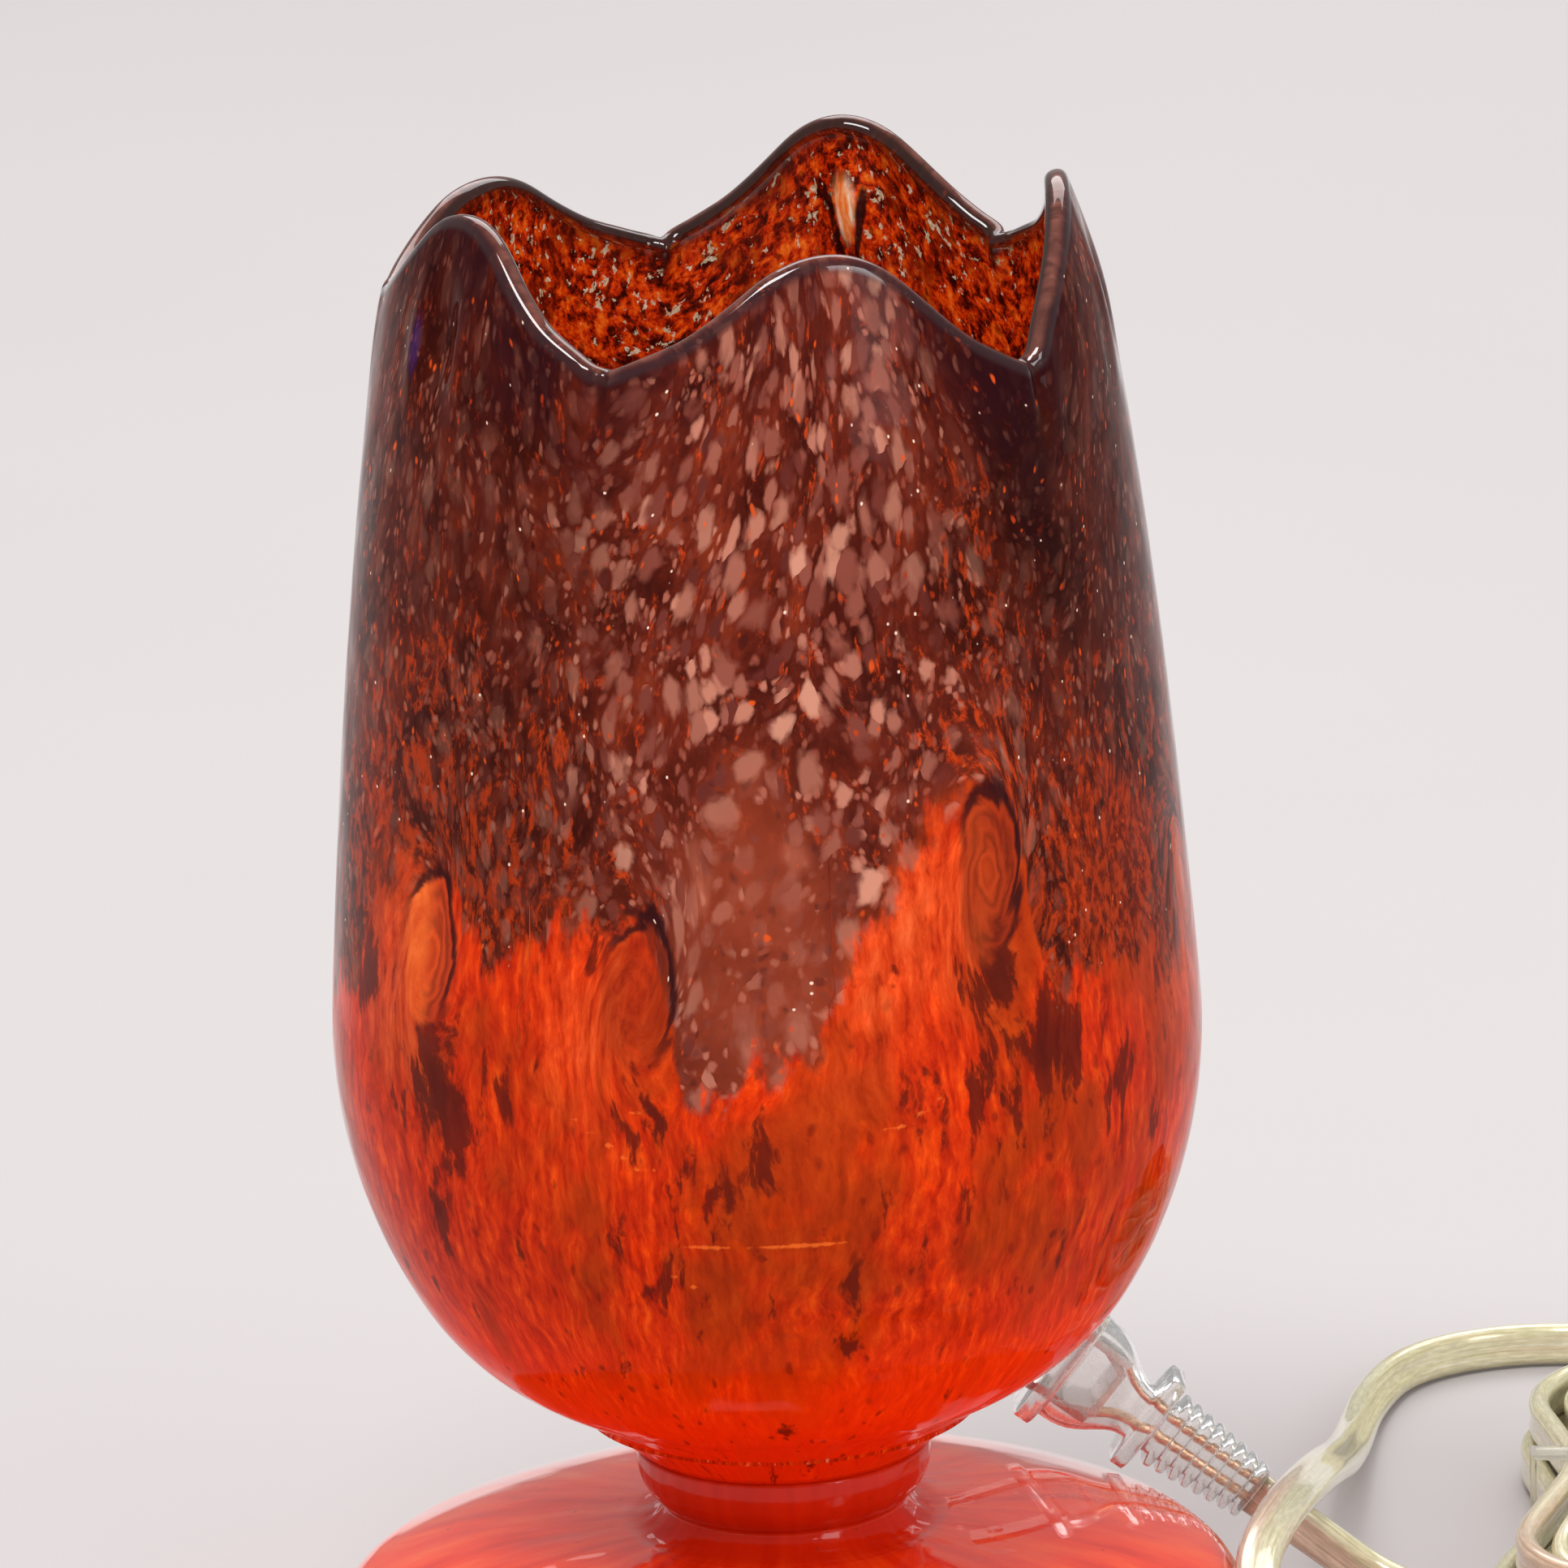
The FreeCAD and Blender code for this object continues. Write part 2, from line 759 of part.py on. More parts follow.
def lamp_holder():
    bottom = S.holder_height
    waist = bottom + S.cap_waist
    top = bottom + S.cap_height
    wall = S.cap_wall
    keep(turned(
        "holder_cap",
        Outline(TUBE_HOLE, bottom)
        .line(S.cap_foot_radius, bottom)
        .arc(1.6, S.cap_radius, waist)
        .line(S.cap_radius, top)
        .line(S.cap_radius - wall, top)
        .line(S.cap_radius - wall, waist)
        .arc(-1.4, S.cap_foot_radius - wall, bottom + wall)
        .line(TUBE_HOLE, bottom + wall),
    ))
    bushing_bottom = bottom + wall
    bushing_top = bushing_bottom + S.cap_bushing_height
    sleeve = ring("cap_bushing_sleeve", S.tube_radius, S.cap_bushing_radius, bushing_bottom, bushing_top)
    across = FreeCAD.Rotation(FreeCAD.Vector(0, 1, 0), 90)
    screw_level = bushing_bottom + S.cap_bushing_height / 2
    screw_hole = cylinder(
        "set_screw_hole", S.set_screw_radius, S.cap_bushing_radius, (S.tube_radius, 0, screw_level), across)
    keep(cut("cap_bushing", sleeve, screw_hole))
    keep(cylinder(
        "set_screw", S.set_screw_radius - 0.02, S.cap_bushing_radius - S.tube_radius + 1.2,
        (S.tube_radius + 0.05, 0, screw_level), across))
    shell_bottom = top - S.shell_overlap
    shell_top = shell_bottom + S.shell_height
    keep(turned(
        "holder_shell",
        Outline(S.shell_radius - S.shell_wall, shell_bottom)
        .line(S.shell_radius, shell_bottom)
        .line(S.shell_radius, shell_top - 3 * S.shell_bead)
        .arc(S.shell_bead, S.shell_radius, shell_top)
        .line(S.shell_radius - S.shell_wall, shell_top),
    ))
    liner_radius = S.shell_radius - S.shell_wall - S.liner_gap
    keep(ring("shell_liner", liner_radius - S.liner_wall, liner_radius, shell_bottom, shell_top - 2))
    block_bottom = top - S.shell_overlap
    block_top = block_bottom + S.block_height
    shank_level = block_bottom + S.block_height / 2
    block = cylinder("holder_block_blank", S.block_radius, S.block_height, (0, 0, block_bottom))
    passage = cylinder("holder_block_passage", S.contact_radius + 0.4, S.block_height, (0, 0, block_bottom))
    seats = []
    screws = []
    for side, label in ((1, "hot_terminal_screw"), (-1, "neutral_terminal_screw")):
        turn = FreeCAD.Rotation(FreeCAD.Vector(0, 1, 0), 90 * side)
        head_start = S.block_radius - S.terminal_head_height - 0.8
        seats.append(cylinder(
            f"{label}_seat", S.terminal_head_radius + 0.6, S.block_radius,
            (side * head_start, 0, shank_level), turn))
        hole = cylinder(
            f"{label}_hole", S.terminal_shank_radius, 6,
            (side * (head_start - 6), 0, shank_level), turn)
        seats.append(hole)
        seats.append(cylinder(
            f"{label}_groove", S.lead_radius + 0.2, shank_level - block_bottom,
            (side * (S.block_radius - S.lead_groove_depth), 0, block_bottom)))
        head = cylinder(
            f"{label}_head", S.terminal_head_radius, S.terminal_head_height,
            (side * (head_start + 0.3), 0, shank_level), turn)
        shank = cylinder(
            f"{label}_shank", S.terminal_shank_radius, 6.3,
            (side * (head_start - 6), 0, shank_level), turn)
        slot_start = head_start + 0.3 + S.terminal_head_height
        slot = box(
            f"{label}_slot",
            (side * slot_start - 0.5, -S.terminal_head_radius, shank_level - 0.4),
            (side * slot_start + 0.5, S.terminal_head_radius, shank_level + 0.4))
        screws.append(cut(label, fuse(f"{label}_blank", head, shank), slot))
    keep(cut("holder_block", block, passage, *seats))
    for screw in screws:
        keep(screw)
    shell_low = block_top
    shell_high = shell_low + S.screw_shell_height
    inner = S.screw_shell_radius - S.screw_shell_wall
    keep(turned(
        "screw_shell",
        Outline(S.contact_radius + 1.6, shell_low)
        .line(S.screw_shell_radius, shell_low)
        .line(S.screw_shell_radius, shell_high)
        .line(inner, shell_high)
        .line(inner, shell_low + S.screw_shell_wall)
        .line(S.contact_radius + 1.6, shell_low + S.screw_shell_wall),
    ))
    contact_bottom = block_top - 4
    keep(turned(
        "centre_contact",
        Outline(0, contact_bottom)
        .line(S.contact_radius - 0.8, contact_bottom)
        .line(S.contact_radius - 0.8, block_top + 1.6)
        .line(S.contact_radius, block_top + 1.6)
        .line(S.contact_radius * 0.6, block_top + S.contact_height)
        .line(0, block_top + S.contact_height),
    ))
    return block_bottom, shank_level, block_top + S.contact_height


def bulb(bottom):
    """A pear-shaped bulb on a medium screw cap, standing on the centre contact."""
    button_top = bottom + S.bulb_button_height
    ring_top = button_top + S.bulb_glass_ring_height
    cap_top = bottom + S.bulb_cap_height
    neck = bottom + S.bulb_neck_height
    centre = bottom + S.bulb_length - S.bulb_radius
    top = bottom + S.bulb_length
    wall = S.bulb_wall
    glass_bottom = cap_top - 3
    glass_foot = S.bulb_cap_radius - S.bulb_cap_wall - 0.1
    slant = math.sqrt(0.5)
    flat = 0.6
    outer = S.bulb_radius
    inner = S.bulb_radius - wall
    keep(turned(
        "bulb_glass",
        Outline(glass_foot - wall, glass_bottom)
        .line(glass_foot, glass_bottom)
        .line(glass_foot, cap_top)
        .line(S.bulb_neck_radius, neck)
        .arc(-2.2, outer * 0.94, centre - outer * 0.34)
        .arc(0.9, outer, centre)
        .arc(outer * (1 - slant), flat, top)
        .line(0, top)
        .line(0, top - wall)
        .line(flat, top - wall)
        .arc(-inner * (1 - slant), inner, centre)
        .arc(-0.9, inner * 0.94, centre - inner * 0.34)
        .arc(2.2, S.bulb_neck_radius - wall, neck + wall / 2)
        .line(glass_foot - wall, cap_top),
    ))
    cap_inner = S.bulb_cap_radius - S.bulb_cap_wall
    keep(turned(
        "bulb_cap",
        Outline(S.bulb_button_radius + 5, ring_top)
        .line(S.bulb_cap_radius, ring_top + 2)
        .line(S.bulb_cap_radius, cap_top)
        .line(cap_inner, cap_top)
        .line(cap_inner, ring_top + 2 + S.bulb_cap_wall)
        .line(S.bulb_button_radius + 5, ring_top + S.bulb_cap_wall),
    ))
    keep(turned(
        "bulb_insulator",
        Outline(0, button_top)
        .line(S.bulb_button_radius, button_top)
        .line(S.bulb_button_radius + 5, ring_top)
        .line(S.bulb_button_radius + 5, ring_top + S.bulb_cap_wall)
        .line(0, ring_top + S.bulb_cap_wall),
    ))
    keep(turned(
        "bulb_contact",
        Outline(0, bottom)
        .line(S.bulb_button_radius / 2, bottom)
        .line(S.bulb_button_radius, bottom + S.bulb_button_height / 2)
        .line(S.bulb_button_radius, button_top)
        .line(0, button_top),
    ))
    stem_bottom = cap_top - 1
    stem_top = stem_bottom + S.stem_height
    keep(turned(
        "bulb_stem",
        Outline(0, stem_bottom)
        .line(glass_foot - wall - 0.1, stem_bottom)
        .arc(-3, S.stem_radius, stem_bottom + 12)
        .line(S.stem_radius, stem_top - 3)
        .line(S.stem_radius / 2, stem_top)
        .line(0, stem_top),
    ))
    level = bottom + S.filament_height
    supports = []
    for side in (1, -1):
        lean = math.atan2(float(S.filament_half_width) - 1.5, float(level - stem_top) + 2)
        turn = FreeCAD.Rotation(FreeCAD.Vector(0, 1, 0), side * math.degrees(lean))
        length = (level - stem_top + 2) / math.cos(lean)
        spot = (side * 1.5, 0, stem_top + 0.4)
        supports.append(cylinder(f"filament_support_{side + 1}", S.support_radius, length, spot, turn))
    across = FreeCAD.Rotation(FreeCAD.Vector(0, 1, 0), 90)
    half = S.filament_half_width
    coil = cylinder("filament_coil", S.filament_radius, 2 * half, (-half, 0, level + 0.1), across)
    keep(fuse("bulb_filament", *supports, coil))


def inside_cord(block_bottom, shank_level):
    """The two cores that rise through the tube, and their tails to the terminal screws."""
    fork = S.holder_height + S.cap_wall + S.cap_bushing_height + 1
    core_radius = (S.tube_bore_radius - S.bushing_wall) / 2 - 0.02
    cores = []
    leads = []
    for side in (1, -1):
        cores.append(cylinder(
            f"tube_core_{side + 1}", core_radius, fork - BUSHING_BOTTOM,
            (side * (core_radius + 0.01), 0, BUSHING_BOTTOM)))
        groove_x = float(S.block_radius - S.lead_groove_depth) * side
        leads.append(tube_shape((
            (float(core_radius) * side, 0, float(fork)),
            (float(core_radius) * side, 0, float(fork) + 2.2),
            (groove_x, 0, float(block_bottom) - 1.8),
            (groove_x, 0, float(shank_level - S.terminal_head_radius) - 0.1),
        ), 2 * float(S.lead_radius)))
    keep(group("inner_cord", *cores))
    keep(hand_made("holder_leads", Part.makeCompound(leads)))


# Cords, tubes along a route

def arc_between(start, corner, end):
    """A tangent arc inside a corner, from a point before it to a point as far behind it."""
    chord_middle = (start + end) * 0.5
    half_turn = ((corner - start).getAngle(end - corner)) / 2
    half_chord = (end - start).Length / 2
    towards = corner - chord_middle
    towards.normalize()
    middle = chord_middle + towards * (half_chord * math.tan(half_turn / 2))
    return Part.Arc(start, middle, end).toShape()


def route_wire(points, report=None):
    """Straight runs joined by tangent arcs as large as their runs allow."""
    corners = [FreeCAD.Vector(*point) for point in points]
    edges = []
    radii = []
    position = corners[0]
    for before, corner, after in zip(corners, corners[1:], corners[2:]):
        backward = before - corner
        forward = after - corner
        half_turn = (math.pi - backward.getAngle(forward)) / 2
        trim = 0.45 * min(backward.Length, forward.Length)
        radii.append(trim / math.tan(half_turn))
        backward.normalize()
        forward.normalize()
        start = corner + backward * trim
        end = corner + forward * trim
        edges.append(Part.LineSegment(position, start).toShape())
        edges.append(arc_between(start, corner, end))
        position = end
    edges.append(Part.LineSegment(position, corners[-1]).toShape())
    if report:
        print(report, "radii:", " ".join(f"{radius:.0f}" for radius in radii))
    return Part.Wire(edges)


def sweep(wire, diameter):
    """A round solid along a wire of runs and arcs."""
    edge = wire.OrderedEdges[0]
    start = edge.valueAt(edge.FirstParameter)
    direction = edge.tangentAt(edge.FirstParameter)
    circle = Part.makeCircle(diameter / 2, start, direction)
    solid = wire.makePipeShell([Part.Wire([circle])], True, False)
    return solid


def tube_shape(points, diameter, report=None):
    wire = route_wire(points, report)
    solid = sweep(wire, diameter)
    if report:
        expected = math.pi * diameter ** 2 / 4 * wire.Length
        print(report, f"length {wire.Length:.0f} mm, volume ratio {solid.Volume / expected:.4f}")
    return solid


# Routes of the free cord. The lamp run leaves the bushing under the base, passes below the plate's
# front edge, turns back over the shoulder of the base and lies down behind it.
LAMP_RUN = (
    (0, 0, 13.5), (0, 0, 8.0), (0.4, -5, 3.4), (1.5, -15, 3.2), (4, -34, 3.2), (9, -60, 3.6),
    (17, -84, 4), (34, -102, 4), (58, -107, 4), (80, -96, 4.5), (90, -74, 8), (87, -49, 16),
    (81, -26, 26), (79.5, -4, 34), (82.5, 20, 36), (85.5, 46, 30.8), (89.5, 74, 20.5),
    (93.5, 104, 10.8), (98, 134, 4.8), (103, 162, 4), (112, 185, 4), (131, 196, 4), (154, 192, 4),
    (176, 184.5, 4), (192.5, 171, 4.8), (200, 151, 7.7), (200, 129.5, 7.7),
)
# From the switch round to the hank's near end, and from there up to the plug
SWITCH_RUN = ((200, 79.5, 7.7), (200, 63, 7.7), (195.5, 47, 5), (184.5, 35, 4), (170.5, 27.6, 4))
PLUG_RUN = ((113, 36.4, 10.6), (100.5, 42.6, 12))
HANK_CENTRE = (150.5, 90.5)
HANK_LEAN = 7.2
HANK_TURNS = 4
HANK_LEAD = 13


def hank_mouth(height, before):
    """The hank's near end, with the point a short straight run before or behind it."""
    lean = math.radians(HANK_LEAN)
    reach = float(S.hank_end)
    x = HANK_CENTRE[0] - reach * math.sin(lean)
    y = HANK_CENTRE[1] - reach * math.cos(lean)
    lead = HANK_LEAD if before else -HANK_LEAD
    return (x, y, height), (x + lead * math.cos(lean), y - lead * math.sin(lean), height)


def biarc(start, start_way, end, end_way):
    """Two arcs that meet smoothly and join two points with given ways of travel."""
    gap = end - start
    ways = start_way + end_way
    bend = 2 * (1 - start_way.dot(end_way))
    along = gap.dot(ways)
    if bend < 1e-9:
        reach = gap.dot(gap) / (2 * along)
    else:
        reach = (-along + math.sqrt(along * along + bend * gap.dot(gap))) / bend
    first_corner = start + start_way * reach
    last_corner = end - end_way * reach
    joint = (first_corner + last_corner) * 0.5
    return [arc_between(start, first_corner, joint), arc_between(joint, last_corner, end)]


def hank_points():
    """Twelve points to a turn of a waisted loop that spirals in, climbs a layer and spirals out."""
    lean = math.radians(HANK_LEAN)
    across = FreeCAD.Vector(math.cos(lean), -math.sin(lean), 0)
    along = FreeCAD.Vector(math.sin(lean), math.cos(lean), 0)
    centre = FreeCAD.Vector(*HANK_CENTRE, float(S.hank_low))
    reversal = HANK_TURNS / 2
    end, lobe = float(S.hank_end), float(S.hank_lobe_half_width)
    reach, waist = float(S.hank_lobe_centre), float(S.hank_waist_half_width)
    flare = 2 * math.atan2(lobe - waist, reach)
    # The innermost stretch on each side of the reversal, which doesn't spiral
    hold = 0.125
    # How far a strand turns off its loop while it spirals
    drift = float(S.hank_step) / (math.pi * lobe * 2 + 4 * reach)
    # Each station: its share of a turn, place, way of travel and lift, for the outermost loop
    quarter = (
        (0, (0, -end), 180, 0),
        (0.125, (-lobe, -reach), 90, 0),
        (0.1875, (-(lobe + waist) / 2, -reach / 2), 90 - math.degrees(flare), 0.5),
        (0.25, (-waist, 0), 90, 1),
        (0.3125, (-(lobe + waist) / 2, reach / 2), 90 + math.degrees(flare), 0.5),
        (0.375, (-lobe, reach), 90, 0),
    )
    stations = quarter + tuple(
        (share + 0.5, (-x, -y), angle + 180, lift) for share, (x, y), angle, lift in quarter)
    points = []
    for turn in range(HANK_TURNS + 1):
        for share, (x, y), angle, lift in stations:
            turns = turn + share
            if turns > HANK_TURNS:
                break
            shrink = float(S.hank_step) * min(turns, HANK_TURNS - turns, reversal - hold)
            climb = min(max((turns - reversal + 0.25) / 0.5, 0), 1)
            height = climb * float(S.hank_layer_rise) + lift * float(S.hank_waist_lift)
            way = math.radians(angle)
            x_in = x + shrink * math.sin(way)
            y_in = y - shrink * math.cos(way)
            place_in = centre + across * x_in + along * y_in + FreeCAD.Vector(0, 0, height)
            if 0 < turns < HANK_TURNS and abs(turns - reversal) >= hold:
                share_out = 0.5 if abs(turns - reversal) == hold else 1
                way += math.copysign(drift * share_out, turns - reversal)
            points.append((place_in, across * math.cos(way) + along * math.sin(way)))
    return points


def hank_wire():
    points = hank_points()
    edges = []
    for (start, start_way), (end, end_way) in zip(points, points[1:]):
        edges += biarc(start, start_way, end, end_way)
    return Part.Wire(edges)


def gap_to_itself(wire, diameter, apart):
    """The least clear space between two stretches of a wound tube."""
    count = int(wire.Length / 2)
    points = wire.discretize(count)
    skip = int(apart / 2)
    least = min(
        (points[low] - points[high]).Length
        for low in range(count)
        for high in range(low + skip, count)
    )
    return least - diameter


def cords():
    diameter = float(S.cord_diameter)
    keep(hand_made("cord_lamp_run", tube_shape(LAMP_RUN, diameter, "cord_lamp_run")))
    mouth, lead = hank_mouth(float(S.hank_low), True)
    route = (*SWITCH_RUN, lead, mouth)
    keep(hand_made("cord_switch_run", tube_shape(route, diameter, "cord_switch_run")))
    wire = hank_wire()
    solid = sweep(wire, diameter)
    expected = math.pi * diameter ** 2 / 4 * wire.Length
    print(f"cord_hank length {wire.Length:.0f} mm, volume ratio {solid.Volume / expected:.4f}")
    radii = [edge.Curve.Radius for edge in wire.Edges]
    print(f"cord_hank least radius {min(radii):.1f} mm, least gap {gap_to_itself(wire, diameter, 60):.2f} mm")
    keep(hand_made("cord_hank", solid))
    mouth, lead = hank_mouth(float(S.hank_low + S.hank_layer_rise), False)
    plug_end = PLUG_FACE + PLUG_WAY * float(S.plug_length)
    route = (mouth, lead, *PLUG_RUN, tuple(plug_end + PLUG_WAY * 12.5), tuple(plug_end))
    keep(hand_made("cord_plug_run", tube_shape(route, diameter, "cord_plug_run")))


def hank_tie():
    """A flat band drawn round the hank's waist."""
    thickness = S.tie_thickness
    half_width = S.hank_waist_half_width + S.cord_diameter / 2 + 0.3
    bottom = size(0.1)
    inner_top = S.hank_low + S.hank_layer_rise + S.hank_waist_lift + S.cord_diameter / 2 + 1
    outer = box(
        "hank_tie_outer",
        (-half_width - thickness, -S.tie_width / 2, bottom),
        (half_width + thickness, S.tie_width / 2, inner_top + thickness))
    inner = box(
        "hank_tie_inner",
        (-half_width, -S.tie_width, bottom + thickness),
        (half_width, S.tie_width, inner_top))
    band = cut("hank_tie", outer, inner)
    turn = FreeCAD.Rotation(FreeCAD.Vector(0, 0, 1), -HANK_LEAN)
    return keep(place(band, (*HANK_CENTRE, 0), turn))


# In-line switch, built along +X with its underside at Z = 0

SWITCH_PLACE = FreeCAD.Placement(
    FreeCAD.Vector(200, 104.5, 0.2), FreeCAD.Rotation(FreeCAD.Vector(0, 0, 1), -90))


def on_switch(label, feature):
    """Moves a finished switch piece to where the switch lies."""
    feature.Label = f"{label}_local"
    moved = doc.addObject("Part::Compound", label)
    moved.Label = label
    moved.Links = [feature]
    moved.Placement = SWITCH_PLACE
    return keep(moved)


def switch_half(label, bottom, top, tools):
    """One half of the casing: a rounded block with a hollow that stops at the parting line."""
    half_length = S.switch_length / 2
    half_width = S.switch_width / 2
    block = box(f"{label}_block", (-half_length, -half_width, bottom), (half_length, half_width, top))

    def upright_corner(edge):
        first, last = edge.Vertexes[0].Point, edge.Vertexes[-1].Point
        return abs(first.x - last.x) < 1e-6 and abs(first.y - last.y) < 1e-6

    shaped = rounded(f"{label}_rounded", block, upright_corner, S.switch_corner)
    return cut(f"{label}_cut", shaped, *tools)


def switch():
    wall = S.switch_wall
    half_length = S.switch_length / 2
    half_width = S.switch_width / 2
    parting = S.switch_height / 2
    axle_play = S.axle_radius + S.axle_clearance
    wheel_bottom = parting - S.wheel_thickness / 2
    wheel_top = parting + S.wheel_thickness / 2
    bar_bottom = wheel_bottom - 0.4 - S.contact_bar_thickness
    wheel_y = S.wheel_offset
    spread = S.switch_screw_spread
    screw_y = -S.wheel_offset - 0.2

    lengthwise = FreeCAD.Rotation(FreeCAD.Vector(0, 1, 0), 90)

    def tools(label, low, high, slot_low, slot_high):
        """A hollow that leaves the two screw bosses, the wheel's window and the cord's mouths."""
        room = box(
            f"{label}_room",
            (-half_length + 2.5 * wall, -half_width + wall / 2, low),
            (half_length - 2.5 * wall, half_width - wall, high))
        bosses = [
            cylinder(
                f"{label}_boss_{side + 1}", S.switch_boss_radius, high - low,
                (side * spread, screw_y, low))
            for side in (1, -1)]
        window = box(
            f"{label}_window",
            (-S.wheel_radius - 0.8, wheel_y, slot_low),
            (S.wheel_radius + 0.8, half_width + 1, slot_high))
        mouths = [
            cylinder(
                f"{label}_mouth_{side + 1}", S.cord_diameter / 2, 3 * wall,
                (start, 0, parting), lengthwise)
            for side, start in ((1, half_length - 3 * wall), (-1, -half_length))]
        return [cut(f"{label}_hollow", room, *bosses), window, *mouths]

    pivot_depth = wall / 2
    lower_tools = tools("switch_lower", wall, parting, wheel_bottom - S.wheel_gap, parting)
    upper_tools = tools(
        "switch_upper", parting, S.switch_height - wall, parting, wheel_top + S.wheel_gap)
    lower_tools.append(cylinder(
        "switch_lower_pivot", axle_play, wall, (0, wheel_y, wall - pivot_depth)))
    upper_tools.append(cylinder(
        "switch_upper_pivot", axle_play, wall,
        (0, wheel_y, S.switch_height - wall - pivot_depth)))
    screws = []
    screw_top = S.switch_height - 2
    for side in (1, -1):
        spot = (side * spread, screw_y, 0)
        lower_tools.append(cylinder(
            f"switch_head_hole_{side + 1}", S.switch_screw_head_radius + 0.1, 1.6, spot))
        lower_tools.append(cylinder(
            f"switch_shank_hole_{side + 1}", S.switch_screw_radius + 0.1, parting, spot))
        upper_tools.append(cylinder(
            f"switch_thread_hole_{side + 1}", S.switch_screw_radius + 0.02, screw_top - parting,
            (side * spread, screw_y, parting)))
        head = cylinder(
            f"switch_screw_head_{side + 1}", S.switch_screw_head_radius, 1.2, (side * spread, screw_y, 0.3))
        shank = cylinder(
            f"switch_screw_shank_{side + 1}", S.switch_screw_radius, screw_top - 1.4,
            (side * spread, screw_y, 1.2))
        cross = box(
            f"switch_screw_slot_{side + 1}",
            (side * spread - S.switch_screw_head_radius, screw_y - 0.3, 0),
            (side * spread + S.switch_screw_head_radius, screw_y + 0.3, 0.8))
        screws.append(cut(
            f"switch_screw_{side + 1}", fuse(f"switch_screw_blank_{side + 1}", head, shank), cross))
    on_switch("switch_lower_case", switch_half("switch_lower", size(0), parting, lower_tools))
    on_switch("switch_upper_case", switch_half("switch_upper", parting, S.switch_height, upper_tools))
    on_switch("switch_screws", group("switch_screw_pair", *screws))

    rim = cylinder("wheel_rim", S.wheel_radius, S.wheel_thickness, (0, wheel_y, wheel_bottom))
    axle = cylinder(
        "wheel_axle", S.axle_radius, S.switch_height - 2 * pivot_depth - 0.2 - 0.2,
        (0, wheel_y, pivot_depth + 0.2))
    grooves = []
    groove_count = 24
    for index in range(groove_count):
        angle = 2 * math.pi * index / groove_count
        spot = (
            S.wheel_radius * math.cos(angle), wheel_y + S.wheel_radius * math.sin(angle), wheel_bottom)
        grooves.append(cylinder(f"wheel_groove_{index}", 0.5, S.wheel_thickness, spot))
    on_switch("switch_thumbwheel", cut("wheel_knurled", fuse("wheel_blank", rim, axle), *grooves))

    half_bar = S.contact_bar_length / 2
    half_bar_width = S.contact_bar_width / 2
    bar_top = wheel_bottom
    bar = box(
        "rotor_bar",
        (-half_bar, wheel_y - half_bar_width, bar_bottom),
        (half_bar, wheel_y + half_bar_width, bar_top))
    bar_hole = cylinder("rotor_hole", S.axle_radius, bar_top - bar_bottom, (0, wheel_y, bar_bottom))
    on_switch("switch_rotor_contact", cut("rotor_plate", bar, bar_hole))

    fixed = []
    bar_reach = half_bar + S.wheel_gap
    strip_end = spread - S.switch_boss_radius - 1
    for side in (1, -1):
        near, far = (bar_reach, strip_end) if side > 0 else (-strip_end, -bar_reach)
        fixed.append(box(
            f"fixed_contact_{side + 1}",
            (near, wheel_y - 1.6, wall + 0.05), (far, wheel_y + 1.6, bar_bottom + S.contact_bar_thickness)))
    on_switch("switch_fixed_contacts", group("fixed_contact_pair", *fixed))
    half_bypass = half_length - 3 * wall
    on_switch("switch_bypass_core", cylinder(
        "bypass_core", S.bypass_radius, 2 * half_bypass, (-half_bypass, -S.bypass_offset, parting),
        lengthwise))


# Plug, built along +X from its face to the cord, its blades side by side along Y

PLUG_WAY = FreeCAD.Vector(0.7802, 0, -0.6255)
PLUG_FACE = FreeCAD.Vector(45.5, 48, 54.4)


def plug_placement():
    side = FreeCAD.Vector(0.6255, 0, 0.7802)
    depth = PLUG_WAY.cross(side)
    matrix = FreeCAD.Matrix(
        PLUG_WAY.x, side.x, depth.x, PLUG_FACE.x,
        PLUG_WAY.y, side.y, depth.y, PLUG_FACE.y,
        PLUG_WAY.z, side.z, depth.z, PLUG_FACE.z,
        0, 0, 0, 1)
    return FreeCAD.Placement(matrix)


def on_plug(label, feature):
    """Moves a finished plug piece to where the plug leans on the base."""
    feature.Label = f"{label}_local"
    moved = doc.addObject("Part::Compound", label)
    moved.Label = label
    moved.Links = [feature]
    moved.Placement = plug_placement()
    return keep(moved)


def tapered_block(label, stations):
    """A block through rounded rectangles: each station gives its place, half width and half depth."""
    sections = []
    for index, (place_x, half_width, half_depth) in enumerate(stations):
        profile = doc.addObject("Part::Plane", f"{label}_section_{index}")
        bind(profile, "Length", 2 * half_width)
        bind(profile, "Width", 2 * half_depth)
        turn = FreeCAD.Rotation(
            FreeCAD.Vector(0, 1, 0), FreeCAD.Vector(0, 0, 1), FreeCAD.Vector(1, 0, 0), "ZXY")
        place(profile, (place_x, -half_width, -half_depth), turn)
        sections.append(profile)
    loft = doc.addObject("Part::Loft", label)
    loft.Sections = sections
    loft.Solid = True
    loft.Ruled = True
    return loft


def slab(label, start, thickness, half_width, half_depth):
    return box(label, (start, -half_width, -half_depth), (start + thickness, half_width, half_depth))


